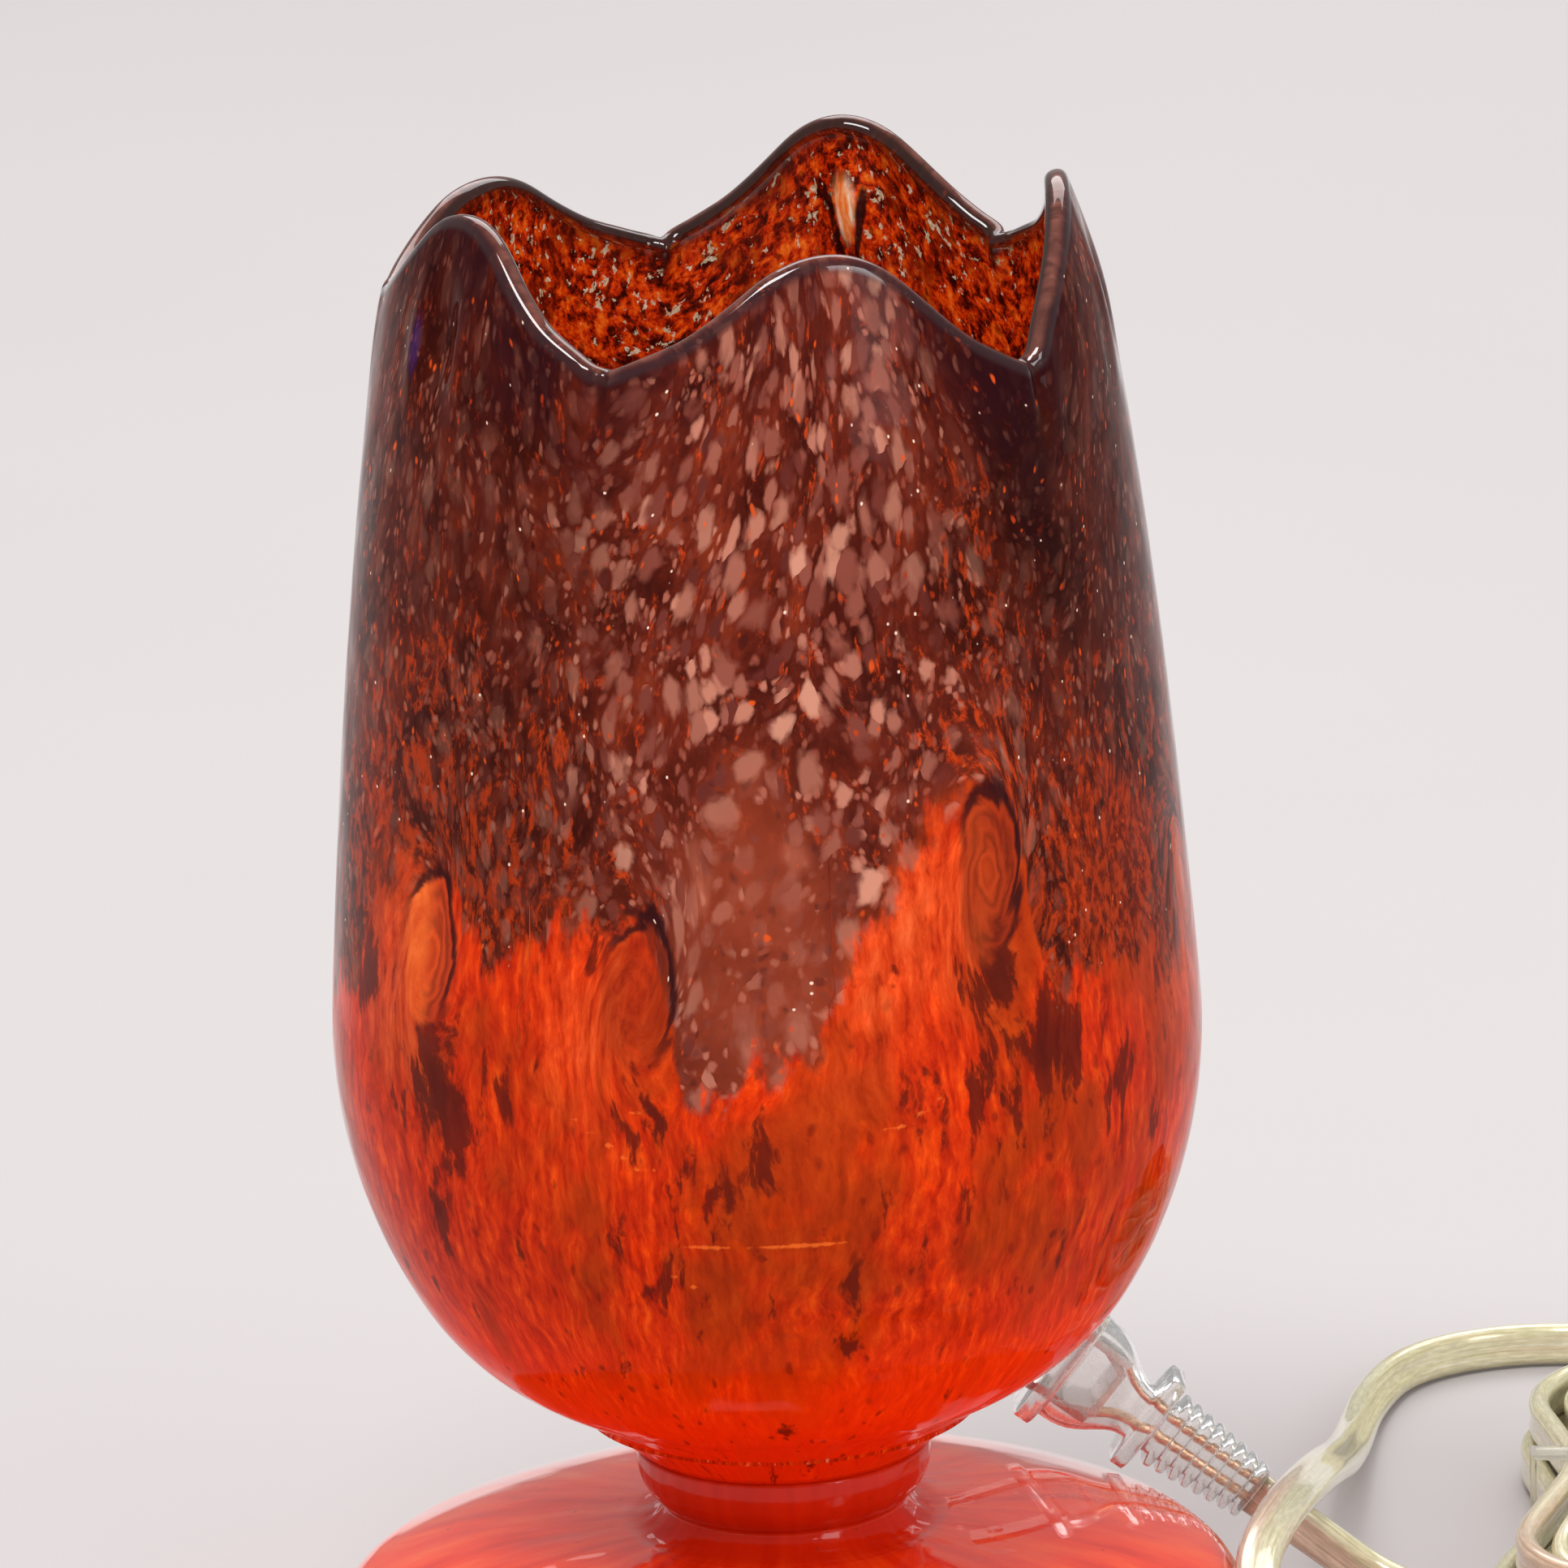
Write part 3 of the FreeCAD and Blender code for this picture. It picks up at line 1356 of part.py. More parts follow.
def plug():
    relief_start = S.plug_bell_end
    insert_start = S.plug_face_thickness - 0.2
    insert_end = insert_start + S.plug_insert_length
    bell = tapered_block("plug_bell", (
        (0, S.plug_bell_half_width, S.plug_bell_half_depth),
        (S.plug_bell_end * 0.6, S.plug_bell_half_width * 0.93, S.plug_bell_half_depth * 0.95),
        (S.plug_bell_end, S.plug_neck_half_width, S.plug_neck_half_depth)))
    relief = tapered_block("plug_relief", (
        (relief_start - 1, S.plug_neck_half_width * 0.9, S.plug_neck_half_depth * 0.8),
        (S.plug_length, S.plug_relief_half_width, S.plug_relief_half_depth)))
    pieces = [
        slab("plug_face", size(0), S.plug_face_thickness, S.plug_face_half_width, S.plug_face_half_depth),
        bell,
        slab("plug_collar", S.plug_bell_end, S.plug_collar_thickness,
             S.plug_collar_half_width, S.plug_collar_half_depth),
        relief,
    ]
    count = int(float(S.plug_rib_count))
    first_rib = S.plug_bell_end + S.plug_collar_thickness + 1.2
    pitch = (S.plug_length - first_rib) / count
    for index in range(count):
        share = index / max(count - 1, 1)
        half_width = S.plug_rib_half_width * (1 - share) + S.plug_rib_end_half_width * share
        half_depth = S.plug_rib_half_depth * (1 - share) + S.plug_rib_end_half_depth * share
        start = first_rib + pitch * (index + 0.35)
        pieces.append(slab(f"plug_rib_{index}", start, pitch * 0.65, half_width, half_depth))
    blank = fuse("plug_blank", *pieces)

    hollow = slab(
        "plug_hollow", insert_start, S.plug_insert_length, S.plug_insert_half_width, S.plug_insert_half_depth)
    blades = {}
    slots = []
    for side, width, label in (
            (-1, S.hot_blade_width, "plug_blade_narrow"), (1, S.neutral_blade_width, "plug_blade_wide")):
        y = S.blade_spacing / 2 * side
        half = S.blade_thickness / 2
        low = (-S.blade_length, y - half, -width / 2)
        high = (insert_end - 1, y + half, width / 2)
        strip = box(f"{label}_strip", low, high)
        hole = cylinder(
            f"{label}_hole", S.blade_hole_radius, S.blade_thickness * 2,
            (-S.blade_length + 5, y + S.blade_thickness, 0), FreeCAD.Rotation(FreeCAD.Vector(1, 0, 0), 90))
        blades[label] = cut(f"{label}_cut", strip, hole)
        slots.append(box(f"{label}_slot", (-1, y - half, -width / 2), high))
    conductors = []
    for side in (1, -1):
        route = [
            (float(insert_end) - 0.6, float(S.blade_spacing) / 2 * side, 0),
            (float(S.plug_bell_end) - 2, 3.0 * side, 0),
            (float(S.plug_bell_end) + 6, 1.9 * side, 0),
            (float(S.plug_length), 1.7 * side, 0),
        ]
        conductors.append(tube_shape(route, 2 * float(S.conductor_radius)))
    conductor_pair = Part.makeCompound(conductors)
    insert = slab(
        "plug_insert_blank", insert_start + 0.02, S.plug_insert_length - 0.04,
        S.plug_insert_half_width - 0.02, S.plug_insert_half_depth - 0.02)
    body_channels = hand_made("plug_body_channels", conductor_pair)
    on_plug("plug_body", cut("plug_body_cut", blank, hollow, *slots, body_channels))
    insert_channels = hand_made("plug_insert_channels", conductor_pair)
    on_plug("plug_insert", cut("plug_insert_cut", insert, *blades.values(), insert_channels))
    for label, feature in blades.items():
        on_plug(label, feature)
    on_plug("plug_conductors", hand_made("plug_conductor_pair", conductor_pair))


# Build, check and write

glass_base()
tulip_shade()
clamping_stack()
base_plate()
block_bottom, shank_level, contact_top = lamp_holder()
bulb(contact_top)
inside_cord(block_bottom, shank_level)
cords()
hank_tie()
switch()
plug()
doc.recompute()

faults = [
    f"{feature.Label}: {feature.State}"
    for feature in doc.Objects
    if {"Invalid", "Error"} & set(feature.State)
]
for piece in PARTS:
    if piece.Shape.isNull() or not piece.Shape.isValid() or not piece.Shape.Solids:
        faults.append(f"{piece.Label}: no valid solid")
if faults:
    raise RuntimeError("; ".join(faults))
for piece in PARTS:
    piece.Shape.exportStep(f"parts/{piece.Label}.step")
print(len(PARTS), "pieces written")
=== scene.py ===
"""Looks of the art glass table lamp, dressed over its CAD frame.

Metres; the origin lies on the table under the lamp's axis, +Z is up and -Y is the front.
"""
import math

import bpy
import numpy as np
from mathutils import Matrix, Vector


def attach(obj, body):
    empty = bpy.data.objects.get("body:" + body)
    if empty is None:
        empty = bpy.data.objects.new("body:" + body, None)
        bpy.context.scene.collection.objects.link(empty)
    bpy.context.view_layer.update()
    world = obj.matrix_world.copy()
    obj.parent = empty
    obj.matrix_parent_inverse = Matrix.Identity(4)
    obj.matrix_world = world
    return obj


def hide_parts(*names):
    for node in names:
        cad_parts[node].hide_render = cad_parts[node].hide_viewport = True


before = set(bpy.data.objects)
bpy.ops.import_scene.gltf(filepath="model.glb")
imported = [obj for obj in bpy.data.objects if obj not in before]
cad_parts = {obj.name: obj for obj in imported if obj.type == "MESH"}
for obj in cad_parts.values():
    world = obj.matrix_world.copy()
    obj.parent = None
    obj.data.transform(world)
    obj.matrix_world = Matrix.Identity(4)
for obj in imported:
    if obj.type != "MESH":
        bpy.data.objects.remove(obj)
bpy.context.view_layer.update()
scene = bpy.context.scene
MM = 0.001

# Camera

TILT, ROLL = math.radians(16.3), math.radians(2.1)
EYE_PLACE = (0.00401, -1.8236, 0.7019)
lens = bpy.data.cameras.new("camera")
lens.lens, lens.sensor_width = 271.9, 36
lens.clip_start, lens.clip_end = 0.05, 60
eye = bpy.data.objects.new("camera", lens)
eye.matrix_world = (Matrix.Translation(EYE_PLACE) @ Matrix.Rotation(math.pi / 2 - TILT, 4, "X")
                    @ Matrix.Rotation(-ROLL, 4, "Z"))
scene.collection.objects.link(eye)
scene.camera = eye


# Mesh helpers; they take millimetres and degrees

def mesh_piece(name, points, faces, soft=True):
    """A mesh object that rides on the lamp."""
    mesh = bpy.data.meshes.new(name)
    mesh.from_pydata([tuple(p) for p in np.asarray(points) * MM], [], faces)
    mesh.validate()
    mesh.update()
    mesh.shade_smooth() if soft else mesh.shade_flat()
    piece = bpy.data.objects.new(name, mesh)
    scene.collection.objects.link(piece)
    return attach(piece, "lamp")


def grid_faces(rows, columns, wrap=False, flip=False):
    """Quads between rings of points; wrap joins the last ring to the first."""
    faces = []
    for i in range(rows if wrap else rows - 1):
        here, ahead = i * columns, (i + 1) % rows * columns
        for j in range(columns):
            k = (j + 1) % columns
            quad = (here + j, here + k, ahead + k, ahead + j)
            faces.append(quad[::-1] if flip else quad)
    return faces


def put(mesh, name, values):
    """A float or vector attribute on the mesh's points."""
    values = np.asarray(values, np.float32)
    kind, key = ("FLOAT", "value") if values.ndim == 1 else ("FLOAT_VECTOR", "vector")
    mesh.attributes.new(name, kind, "POINT").data.foreach_set(key, values.ravel())


def unit(vectors):
    return vectors / np.linalg.norm(vectors, axis=-1, keepdims=True)


def distances(points):
    """How far along the chain each of its points is."""
    return np.concatenate([[0], np.cumsum(np.linalg.norm(np.diff(points, axis=0), axis=1))])


def arc(start, bulge, end, count):
    """Points on the arc from start to end whose middle stands off the chord's right by bulge."""
    (x0, y0), (x1, y1) = start, end
    chord = math.hypot(x1 - x0, y1 - y0)
    if abs(bulge) < 1e-6:
        return [(x0 + (x1 - x0) * i / count, y0 + (y1 - y0) * i / count) for i in range(1, count + 1)]
    radius = (chord ** 2 / 4 + bulge ** 2) / (2 * abs(bulge))
    side = math.copysign(1, bulge)
    nx, ny = (y1 - y0) / chord * side, -(x1 - x0) / chord * side
    cx, cy = (x0 + x1) / 2 - nx * (radius - abs(bulge)), (y0 + y1) / 2 - ny * (radius - abs(bulge))
    a0, a1 = math.atan2(y0 - cy, x0 - cx), math.atan2(y1 - cy, x1 - cx)
    turn = (a1 - a0 + math.pi) % (2 * math.pi) - math.pi
    return [(cx + radius * math.cos(a0 + turn * i / count), cy + radius * math.sin(a0 + turn * i / count))
            for i in range(1, count + 1)]


def profile(start, *steps, step):
    """A smooth chain of arcs given as (bulge, corner), as points (radius, height)."""
    points = [start]
    for bulge, corner in steps:
        count = max(2, round(math.dist(points[-1], corner) / step))
        points += arc(points[-1], bulge, corner, count)
    return np.array(points)


def resampled(points, at, reach=0.8):
    """The profile's points again at the given distances, with its outward normals."""
    along = distances(points)

    def spot(where):
        return np.stack([np.interp(where, along, points[:, k]) for k in (0, 1)], axis=-1)

    way = unit(spot(np.minimum(at + reach, along[-1])) - spot(np.maximum(at - reach, 0)))
    return spot(at), np.stack([way[..., 1], -way[..., 0]], axis=-1)


def azimuths(columns):
    """Places round the axis, in degrees from the front."""
    return (np.arange(columns) + 0.5) / columns * 360 - 180


def ring(radius, turn, height):
    """Points round the axis; a turn of 0 faces the front."""
    return np.stack([radius * np.sin(turn), -radius * np.cos(turn), np.broadcast_to(height, turn.shape)], 1)


def smooth(value, low, high):
    """0 at low, 1 at high, with soft ends."""
    share = np.clip((value - low) / (high - low), 0, 1)
    return share * share * (3 - 2 * share)


def bell(*offs):
    """1 where all offs are 0, falling to 0.37 at 1 away."""
    return np.exp(-sum(off ** 2 for off in offs))


def angle_off(azimuth, centre):
    """How many degrees round from centre."""
    return (azimuth - centre + 180) % 360 - 180


# Material helpers

class Shader:
    """A Principled material with short calls for its nodes."""

    def __init__(self, name, color=(0.8, 0.8, 0.8), rough=0.4, **sockets):
        self.material = bpy.data.materials.new(name)
        self.material.use_nodes = True
        self.tree = self.material.node_tree
        self.surface = self.tree.nodes["Principled BSDF"]
        for socket, value in {"Base_Color": color, "Roughness": rough, **sockets}.items():
            self.give(socket.replace("_", " "), value)

    def give(self, socket, value):
        self.plug(self.surface.inputs[socket], value)

    def plug(self, socket, value):
        """Links a node's output to the socket, or sets its value."""
        if isinstance(value, bpy.types.NodeSocket):
            self.tree.links.new(value, socket)
        else:
            socket.default_value = (*value, 1) if socket.type == "RGBA" else value

    def add(self, kind, inputs=None, **options):
        node = self.tree.nodes.new(kind)
        for key, value in options.items():
            setattr(node, key, value)
        for key, value in (inputs or {}).items():
            self.plug(node.inputs[key], value)
        return node

    def attribute(self, name, output="Fac"):
        return self.add("ShaderNodeAttribute", attribute_name=name).outputs[output]

    def coordinates(self):
        """Places in millimetres in the row frame."""
        return self.stretch(self.add("ShaderNodeTexCoord").outputs["Object"], (1000, 1000, 1000))

    def stretch(self, vector, scale, move=(0, 0, 0)):
        inputs = {"Vector": vector, "Scale": scale, "Location": move}
        return self.add("ShaderNodeMapping", inputs).outputs["Vector"]

    def moved(self, vector, by):
        return self.stretch(vector, (1, 1, 1), by)

    def noise(self, vector, scale, detail, rough=0.5, output="Fac"):
        inputs = {"Vector": vector, "Scale": scale, "Detail": detail, "Roughness": rough}
        return self.add("ShaderNodeTexNoise", inputs).outputs[output]

    def cells(self, vector, scale):
        """(distance to the cell's middle, a random number of the cell, another one)."""
        node = self.add("ShaderNodeTexVoronoi", {"Vector": vector, "Scale": scale, "Randomness": 1.0})
        split = self.add("ShaderNodeSeparateColor", {"Color": node.outputs["Color"]})
        return node.outputs["Distance"], split.outputs[0], split.outputs[1]

    def dots(self, vector, scale, fade, chance):
        """1 in round dots at some of the cells: where their edges fade, and from which chance on."""
        far, luck, _ = self.cells(vector, scale)
        return self.product(self.step(far, *fade), self.step(luck, *chance))

    def math(self, operation, *values):
        return self.add("ShaderNodeMath", dict(enumerate(values)), operation=operation).outputs[0]

    def total(self, first, second):
        return self.math("ADD", first, second)

    def product(self, *values):
        total = values[0]
        for value in values[1:]:
            total = self.math("MULTIPLY", total, value)
        return total

    def scaled(self, value, by, plus):
        return self.math("MULTIPLY_ADD", value, by, plus)

    def swing(self, value, amount):
        """value from 0 to 1 made to swing about 0 by half of amount."""
        return self.product(self.math("SUBTRACT", value, 0.5), amount)

    def step(self, value, low, high, to_low=0.0, to_high=1.0):
        """value carried smoothly from low..high to to_low..to_high."""
        inputs = {"Value": value, "From Min": low, "From Max": high, "To Min": to_low, "To Max": to_high}
        return self.add("ShaderNodeMapRange", inputs, interpolation_type="SMOOTHSTEP").outputs[0]

    def mix(self, share, first, second, blend="MIX"):
        inputs = {0: share, 6: first, 7: second}
        return self.add("ShaderNodeMix", inputs, data_type="RGBA", blend_type=blend).outputs[2]

    def lay(self, base, color, *shares):
        """base with color over it by the product of the shares."""
        return self.mix(self.product(*shares), base, color)

    def ramp(self, value, *stops):
        """Colours at places from 0 to 1."""
        node = self.add("ShaderNodeValToRGB", {"Fac": value})
        band = node.color_ramp
        while len(band.elements) < len(stops):
            band.elements.new(0.5)
        for element, (place, color) in zip(band.elements, stops):
            element.position = place
            element.color = (*color, 1)
        return node.outputs["Color"]

    def warped(self, vector, scale, amount):
        """vector pushed about by a slow noise, amount in the vector's own units."""
        push = self.noise(vector, scale, 1, output="Color")
        inputs = {0: push, 1: (0.5, 0.5, 0.5)}
        centred = self.add("ShaderNodeVectorMath", inputs, operation="SUBTRACT").outputs[0]
        inputs = {0: centred, 1: (amount, amount, amount), 2: vector}
        return self.add("ShaderNodeVectorMath", inputs, operation="MULTIPLY_ADD").outputs[0]

    def bump(self, height, strength, distance):
        inputs = {"Height": height, "Strength": strength, "Distance": distance}
        self.give("Normal", self.add("ShaderNodeBump", inputs).outputs[0])


def clear_stuff(name, color, rough, grain, detail, strength, depth, **sockets):
    """Clear or milky material with a slightly uneven skin."""
    look = Shader(name, color, rough, **sockets)
    look.bump(look.noise(look.coordinates(), grain, detail), strength, depth)
    return look


def dress(piece, shader):
    """Gives a piece, or the CAD node of that name, its material."""
    if isinstance(piece, str):
        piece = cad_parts[piece]
    piece.data.materials.clear()
    piece.data.materials.append(shader.material)


# Cord: one line from the lamp through the switch and the hank to the plug. Each control point has its roll:
# 0 lies flat, 90 stands on edge

LAMP_RUN = (
    (0, 0, 13.5, 0), (0, 0, 8, 0), (0.4, -5, 3.4, 0), (1.5, -15, 3.2, 0), (4, -34, 3.2, 15),
    (9, -60, 3.6, 50), (17, -84, 4, 80), (34, -102, 4, 90), (58, -107, 4, 80), (80, -96, 4.5, 55),
    (89, -74, 8, 30), (85, -49, 16, 12), (77.5, -26, 26, 0), (75.5, -4, 33.8, -22), (81.8, 20, 35, -38),
    (87.5, 46, 30.4, -44),
    (92, 74, 23, -46), (96, 104, 13.6, -46), (99.5, 134, 6.2, -48), (103.5, 160, 4.2, -62),
    (112, 180, 4.1, -82), (131, 188.5, 4.1, -90), (154, 185, 4.1, -90), (176, 180, 4.1, -90),
    (192.5, 169, 4.8, -60), (200, 151, 7.7, 0))
SWITCH_RUN = ((200, 63, 7.7, 0), (195.5, 47, 5, 50), (184.5, 35, 4, 90), (170.5, 27.6, 4, 90))
PLUG_RUN = ((113, 36.4, 10.6), (100.5, 42.6, 12))
PLUG_FACE = np.array((45.5, 48, 54.4))
PLUG_WAY = np.array((0.7802, 0, -0.6255))
PLUG_SIDE = np.array((0.6255, 0, 0.7802))
PLUG_DEPTH = np.array((0, -1, 0))
PLUG_LENGTH, PLUG_STRAIGHT = 41.9, 12.5
HANK_TURNS, HANK_STEP, HANK_HOLD = 4, 6.2, 0.125
HANK_CENTRE, HANK_LEAN = (150.5, 90.5), math.radians(7.2)
HANK_LEAD, HANK_LEAD_BACK = 13, -62.5
HANK_LOW, HANK_RISE, WAIST_LIFT = 4.2, 7.8, 0.8
# The hank's round ends: half width, half length and how far they stand from its middle
END_WIDE, END_LONG, END_OFF = 28, 28.5, 34
CORD_WIDTH, CORD_HALF = 7.6, 1.9
CORD_STEPS = 8


def hank_spot(x, y, z):
    """A place given across and along the hank."""
    lean_sin, lean_cos = math.sin(HANK_LEAN), math.cos(HANK_LEAN)
    return HANK_CENTRE[0] + x * lean_cos + y * lean_sin, HANK_CENTRE[1] - x * lean_sin + y * lean_cos, z


def hank_line():
    """Twenty points to a turn of a waisted loop that spirals in, climbs a layer and spirals out."""
    def end(turn, off, later):
        sweep = math.radians(30 * turn)
        return (later + 0.125 * turn / 3, -END_WIDE * math.sin(sweep), off - END_LONG * math.cos(sweep),
                180 - 30 * turn, 0)

    half = [end(turn, -END_OFF, 0) for turn in range(4)]
    half += [(0.1875, -23.5, -17, 60, 0.5), (0.25, -19, 0, 90, 1), (0.3125, -23.5, 17, 120, 0.5)]
    half += [end(turn, END_OFF, 0.25) for turn in range(3, 6)]
    loop = half + [(share + 0.5, -x, -y, angle + 180, lift) for share, x, y, angle, lift in half]
    points = []
    for turn in range(HANK_TURNS + 1):
        for share, x, y, angle, lift in loop:
            turns = turn + share
            if turns > HANK_TURNS:
                break
            shrink = HANK_STEP * min(turns, HANK_TURNS - turns, HANK_TURNS / 2 - HANK_HOLD)
            climb = min(max((turns - HANK_TURNS / 2 + 0.25) / 0.5, 0), 1)
            way = math.radians(angle)
            points.append(hank_spot(
                x + shrink * math.sin(way), y - shrink * math.cos(way),
                HANK_LOW + climb * HANK_RISE + lift * WAIST_LIFT))
    return points


def cord_route():
    """The whole cord's control points, each with its roll."""
    plug_end = PLUG_FACE + PLUG_WAY * PLUG_LENGTH
    lead_in = hank_spot(HANK_LEAD, HANK_LEAD_BACK, HANK_LOW)
    lead_out = hank_spot(-HANK_LEAD, HANK_LEAD_BACK, HANK_LOW + HANK_RISE)
    on_edge = [lead_in, *hank_line(), lead_out, *PLUG_RUN, plug_end + PLUG_WAY * PLUG_STRAIGHT, plug_end]
    return np.array([*LAMP_RUN, *SWITCH_RUN, *((*place, 90) for place in on_edge)])


def spline_points(name, route):
    """Points read from the smooth spline that a route steers."""
    curve = bpy.data.curves.new(name, "CURVE")
    curve.dimensions = "3D"
    curve.resolution_u = CORD_STEPS
    line = curve.splines.new("NURBS")
    line.points.add(len(route) - 1)
    for point, place in zip(line.points, route):
        point.co = (*(c * MM for c in place), 1)
    line.order_u = 3
    line.use_endpoint_u = True
    holder = bpy.data.objects.new(name, curve)
    mesh = bpy.data.meshes.new_from_object(holder)
    points = np.array([v.co for v in mesh.vertices]) / MM
    bpy.data.meshes.remove(mesh)
    bpy.data.objects.remove(holder)
    return points


def cord_frames(line, roll):
    """The cord's width and height axes along the line, turned by roll degrees about it."""
    way = unit(np.gradient(line, axis=0))
    side = np.cross(way, (0, 0, 1))
    steep = np.clip(0.4 - np.linalg.norm(side, axis=1, keepdims=True), 0, 1)
    side += steep * np.array((-1, 0, 0))
    side = unit(side - (side * way).sum(1, keepdims=True) * way)
    over = np.cross(side, way)
    turn = np.radians(roll)[:, None]
    return np.cos(turn) * side + np.sin(turn) * over, np.cos(turn) * over - np.sin(turn) * side


def twin_section():
    """Two round cores side by side with a groove between them."""
    points = []
    for side in (1, -1):
        for index in range(9):
            angle = math.radians(-118 + 29.5 * index)
            points.append((side * CORD_HALF * (1 + math.cos(angle)), side * CORD_HALF * math.sin(angle)))
    return np.array(points)


def cord():
    """The cord's closed tube and its centre line."""
    route = cord_route()
    line = spline_points("cord_line", route[:, :3])
    spans = np.linspace(0, len(route) - 2, len(line))
    marks = np.clip(np.arange(len(route)) - 0.5, 0, len(route) - 2)
    across, above = cord_frames(line, np.interp(spans, marks, route[:, 3]))
    section = twin_section()
    count, around = len(line), len(section)
    points = line[:, None] + across[:, None] * section[None, :, :1] + above[:, None] * section[None, :, 1:]
    faces = grid_faces(count, around)
    faces += [tuple(range(around))[::-1], tuple((count - 1) * around + j for j in range(around))]
    piece = mesh_piece("cord", points.reshape(-1, 3), faces)
    lie = np.column_stack([np.repeat(distances(line), around), np.tile(section, (count, 1))])
    put(piece.data, "lie", lie)
    return piece, line


def cord_material():
    """Stranded wire under clear vinyl: silvery gold with coppery stretches and fine lengthwise lines."""
    look = Shader("cord_vinyl", rough=0.22, Coat_Weight=0.9, Coat_Roughness=0.06)
    lie = look.attribute("lie", "Vector")
    lines = look.noise(look.stretch(lie, (0.02, 1, 1)), 2.6, 3, 0.6)
    slow = look.noise(look.stretch(lie, (0.012, 0.12, 0.12)), 1.0, 2)
    lay = look.noise(look.stretch(lie, (0.35, 1.6, 1.6)), 1.0, 2)
    gold = look.ramp(lines, (0.25, (0.36, 0.31, 0.15)), (0.42, (0.62, 0.57, 0.34)),
                     (0.58, (0.74, 0.7, 0.48)), (0.8, (0.92, 0.9, 0.74)))
    copper = look.ramp(lines, (0.25, (0.4, 0.22, 0.14)), (0.5, (0.7, 0.52, 0.38)),
                       (0.8, (0.9, 0.76, 0.62)))
    color = look.mix(look.step(slow, 0.5, 0.66), gold, copper)
    look.give("Base Color", look.lay(color, (0.24, 0.2, 0.11), look.step(lay, 0.35, 0.7, 0.25, 0)))
    look.give("Metallic", look.step(lines, 0.3, 0.7, 0.05, 0.3))
    look.bump(lines, 0.25, 0.0004)
    return look


cord_piece, cord_line = cord()
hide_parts("cord_lamp_run", "cord_switch_run", "cord_hank", "cord_plug_run")
dress(cord_piece, cord_material())


# Plug

def on_plug(points):
    """Places given along, across and in front of the plug's axis, from its face, in the row frame."""
    return PLUG_FACE + np.asarray(points) @ np.array((PLUG_WAY, PLUG_SIDE, PLUG_DEPTH))


def rounded_section(half_width, half_depth, square, count):
    """A rounded rectangle's points as (across, above); square 2 is an ellipse, higher is boxier."""
    angles = np.linspace(0, 2 * math.pi, count, endpoint=False)
    c, s = np.cos(angles), np.sin(angles)
    return np.stack([
        half_width * np.sign(c) * np.abs(c) ** (2 / square),
        half_depth * np.sign(s) * np.abs(s) ** (2 / square)], 1)


def lofted(name, stations, count=48):
    """A closed skin through the plug's sections given as (along, half width, half depth, square)."""
    rows = [np.column_stack([np.full(count, along), rounded_section(*section, count)])
            for along, *section in stations]
    ends = [[(stations[0][0], 0, 0)], [(stations[-1][0], 0, 0)]]
    points = np.concatenate([*rows, *ends])
    faces = grid_faces(len(rows), count, flip=True)
    first, last = len(points) - 2, len(points) - 1
    base = (len(rows) - 1) * count
    faces += [(first, j, (j + 1) % count) for j in range(count)]
    faces += [(last, base + (j + 1) % count, base + j) for j in range(count)]
    return mesh_piece(name, on_plug(points), faces)


def plug_stations():
    """The face's flange, the narrowing grip, the collar and the ribbed strain relief."""
    stations = [(0, 11.2, 6.1, 8), (0.35, 11.8, 6.6, 8), (2.9, 11.8, 6.6, 8), (3.25, 11.3, 6.2, 8),
                (3.5, 9.9, 5.6, 5)]
    for share in np.linspace(0, 1, 11):
        narrow = 0.5 - 0.5 * math.cos(math.pi * share ** 1.5)
        stations.append((3.8 + 13.6 * share, 9.9 - 5.1 * narrow, 5.6 - 1.7 * narrow, 4))
    stations += [(17.9, 4.9, 4, 4), (18.3, 8.7, 4.6, 6), (18.6, 9.2, 5, 7), (20.7, 9.2, 5, 7),
                 (21.1, 8.7, 4.6, 6), (21.4, 5, 3.8, 4)]
    ribs, relief = 8, 22.3
    pitch = (PLUG_LENGTH - relief) / ribs
    for index in range(ribs):
        share = index / (ribs - 1)
        wide, deep = 6.6 - 1.6 * share, 3.9 - 0.8 * share
        start = relief + pitch * (index + 0.3)
        end = start + pitch * 0.62
        low = (wide - 1.6, deep - 0.35)
        stations += [(start, *low, 4), (start + 0.25, wide - 0.2, deep, 6), (start + 0.5, wide, deep, 6),
                     (end - 0.25, wide, deep, 6), (end, wide - 0.2, deep, 6), (start + pitch * 0.7, *low, 4)]
    return [s for s in stations if s[0] <= PLUG_LENGTH] + [(PLUG_LENGTH, 4.3, 2.7, 4)]


